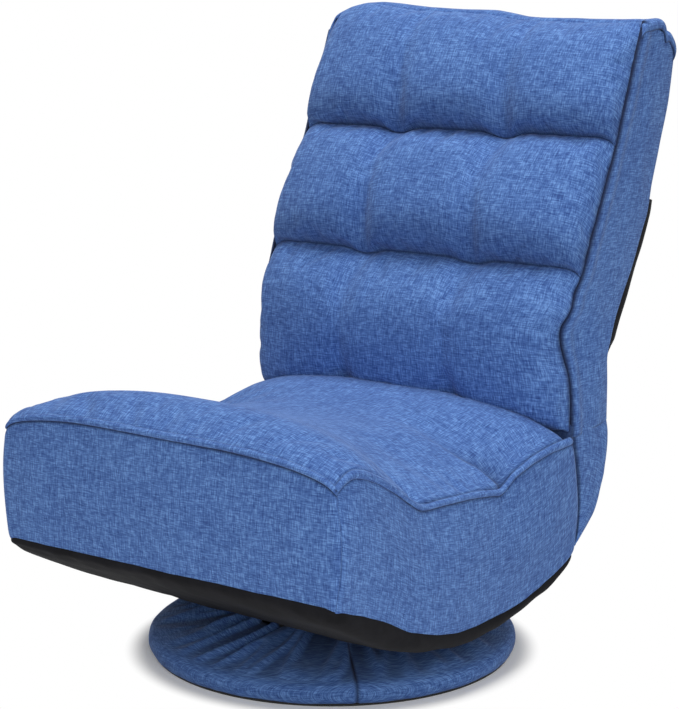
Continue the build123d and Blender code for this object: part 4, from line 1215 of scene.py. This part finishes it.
# %% Floor
def seen_straight(tree):
    """1 where the camera, a mirror or a clear body looks straight at the surface."""
    ray = add(tree, "ShaderNodeLightPath")
    seen = ray.outputs["Is Camera Ray"]
    for kind in ("Is Glossy Ray", "Is Transmission Ray"):
        either = add(tree, "ShaderNodeMath", {0: seen, 1: ray.outputs[kind]}, operation="MAXIMUM")
        seen = either.outputs["Value"]
    return seen


floor_mesh = bpy.data.meshes.new("floor")
FLOOR, FLOOR_BELOW = 6.0, -0.0004
SHADOW_INSIDE, WHITE_OUTSIDE = 0.232, 0.264
corners = [(-FLOOR, -FLOOR, 0), (FLOOR, -FLOOR, 0), (FLOOR, FLOOR, 0), (-FLOOR, FLOOR, 0)]
floor_mesh.from_pydata(corners, [], [(0, 1, 2, 3)])
floor = bpy.data.objects.new("floor", floor_mesh)
floor.location.z = FLOOR_BELOW
bpy.context.scene.collection.objects.link(floor)
white_sweep, tree, shader = new_material("paper_white_matt", {
    "Base Color": linear("#f4f4f4"), "Roughness": 0.9, "Specular IOR Level": 0.1, "Emission Color": WHITE,
})
output = next(node for node in tree.nodes if node.type == "OUTPUT_MATERIAL")
seen = seen_straight(tree)
lift_amount = add(tree, "ShaderNodeMath", {0: seen}, {1: 0.15}, operation="MULTIPLY")
tree.links.new(lift_amount.outputs["Value"], shader.inputs["Emission Strength"])
spot = add(tree, "ShaderNodeTexCoord")
away = add(tree, "ShaderNodeVectorMath", {0: spot.outputs["Object"]}, operation="LENGTH")
far = add(
    tree, "ShaderNodeMapRange", {"Value": away.outputs["Value"]},
    {"From Min": SHADOW_INSIDE, "From Max": WHITE_OUTSIDE}, interpolation_type="SMOOTHSTEP",
)
plain = add(tree, "ShaderNodeMath", {0: far.outputs["Result"], 1: seen}, operation="MULTIPLY")
glow = add(tree, "ShaderNodeEmission", values={"Color": WHITE, "Strength": 1.0})
sweep = add(tree, "ShaderNodeMixShader", {
    0: plain.outputs["Value"], 1: shader.outputs["BSDF"], 2: glow.outputs["Emission"],
})
tree.links.new(sweep.outputs["Shader"], output.inputs["Surface"])
floor_mesh.materials.append(white_sweep)
print("floor", 2 * FLOOR, "m wide")


# %% Lamps and world
def lamp(name, place, aim, size, power):
    """A square soft lamp that faces a point."""
    light = bpy.data.lights.new(name, "AREA")
    light.size = size
    light.energy = power
    stand = bpy.data.objects.new(name, light)
    stand.location = place
    stand.rotation_mode = "QUATERNION"
    stand.rotation_quaternion = (Vector(aim) - Vector(place)).to_track_quat("-Z", "Y")
    bpy.context.scene.collection.objects.link(stand)


lamp("lamp_overhead", (0.1, 0.0, 4.0), (0, 0, 0.3), 2.2, 112)
lamp("lamp_by_camera", (2.2, -2.2, 1.4), (0, 0, 0.4), 1.6, 36)
world = bpy.data.worlds.new("white_room")
bpy.context.scene.world = world
world.use_nodes = True
tree = world.node_tree
tree.nodes.clear()
strength = add(
    tree, "ShaderNodeMapRange", {"Value": seen_straight(tree)}, {"To Min": 0.22, "To Max": 1.0}
)
room = add(tree, "ShaderNodeBackground", {"Strength": strength.outputs["Result"]}, {"Color": WHITE})
add(tree, "ShaderNodeOutputWorld", {"Surface": room.outputs["Background"]})
bpy.context.scene.view_settings.view_transform = "Standard"
print("lamps", [light.name for light in bpy.data.lights])
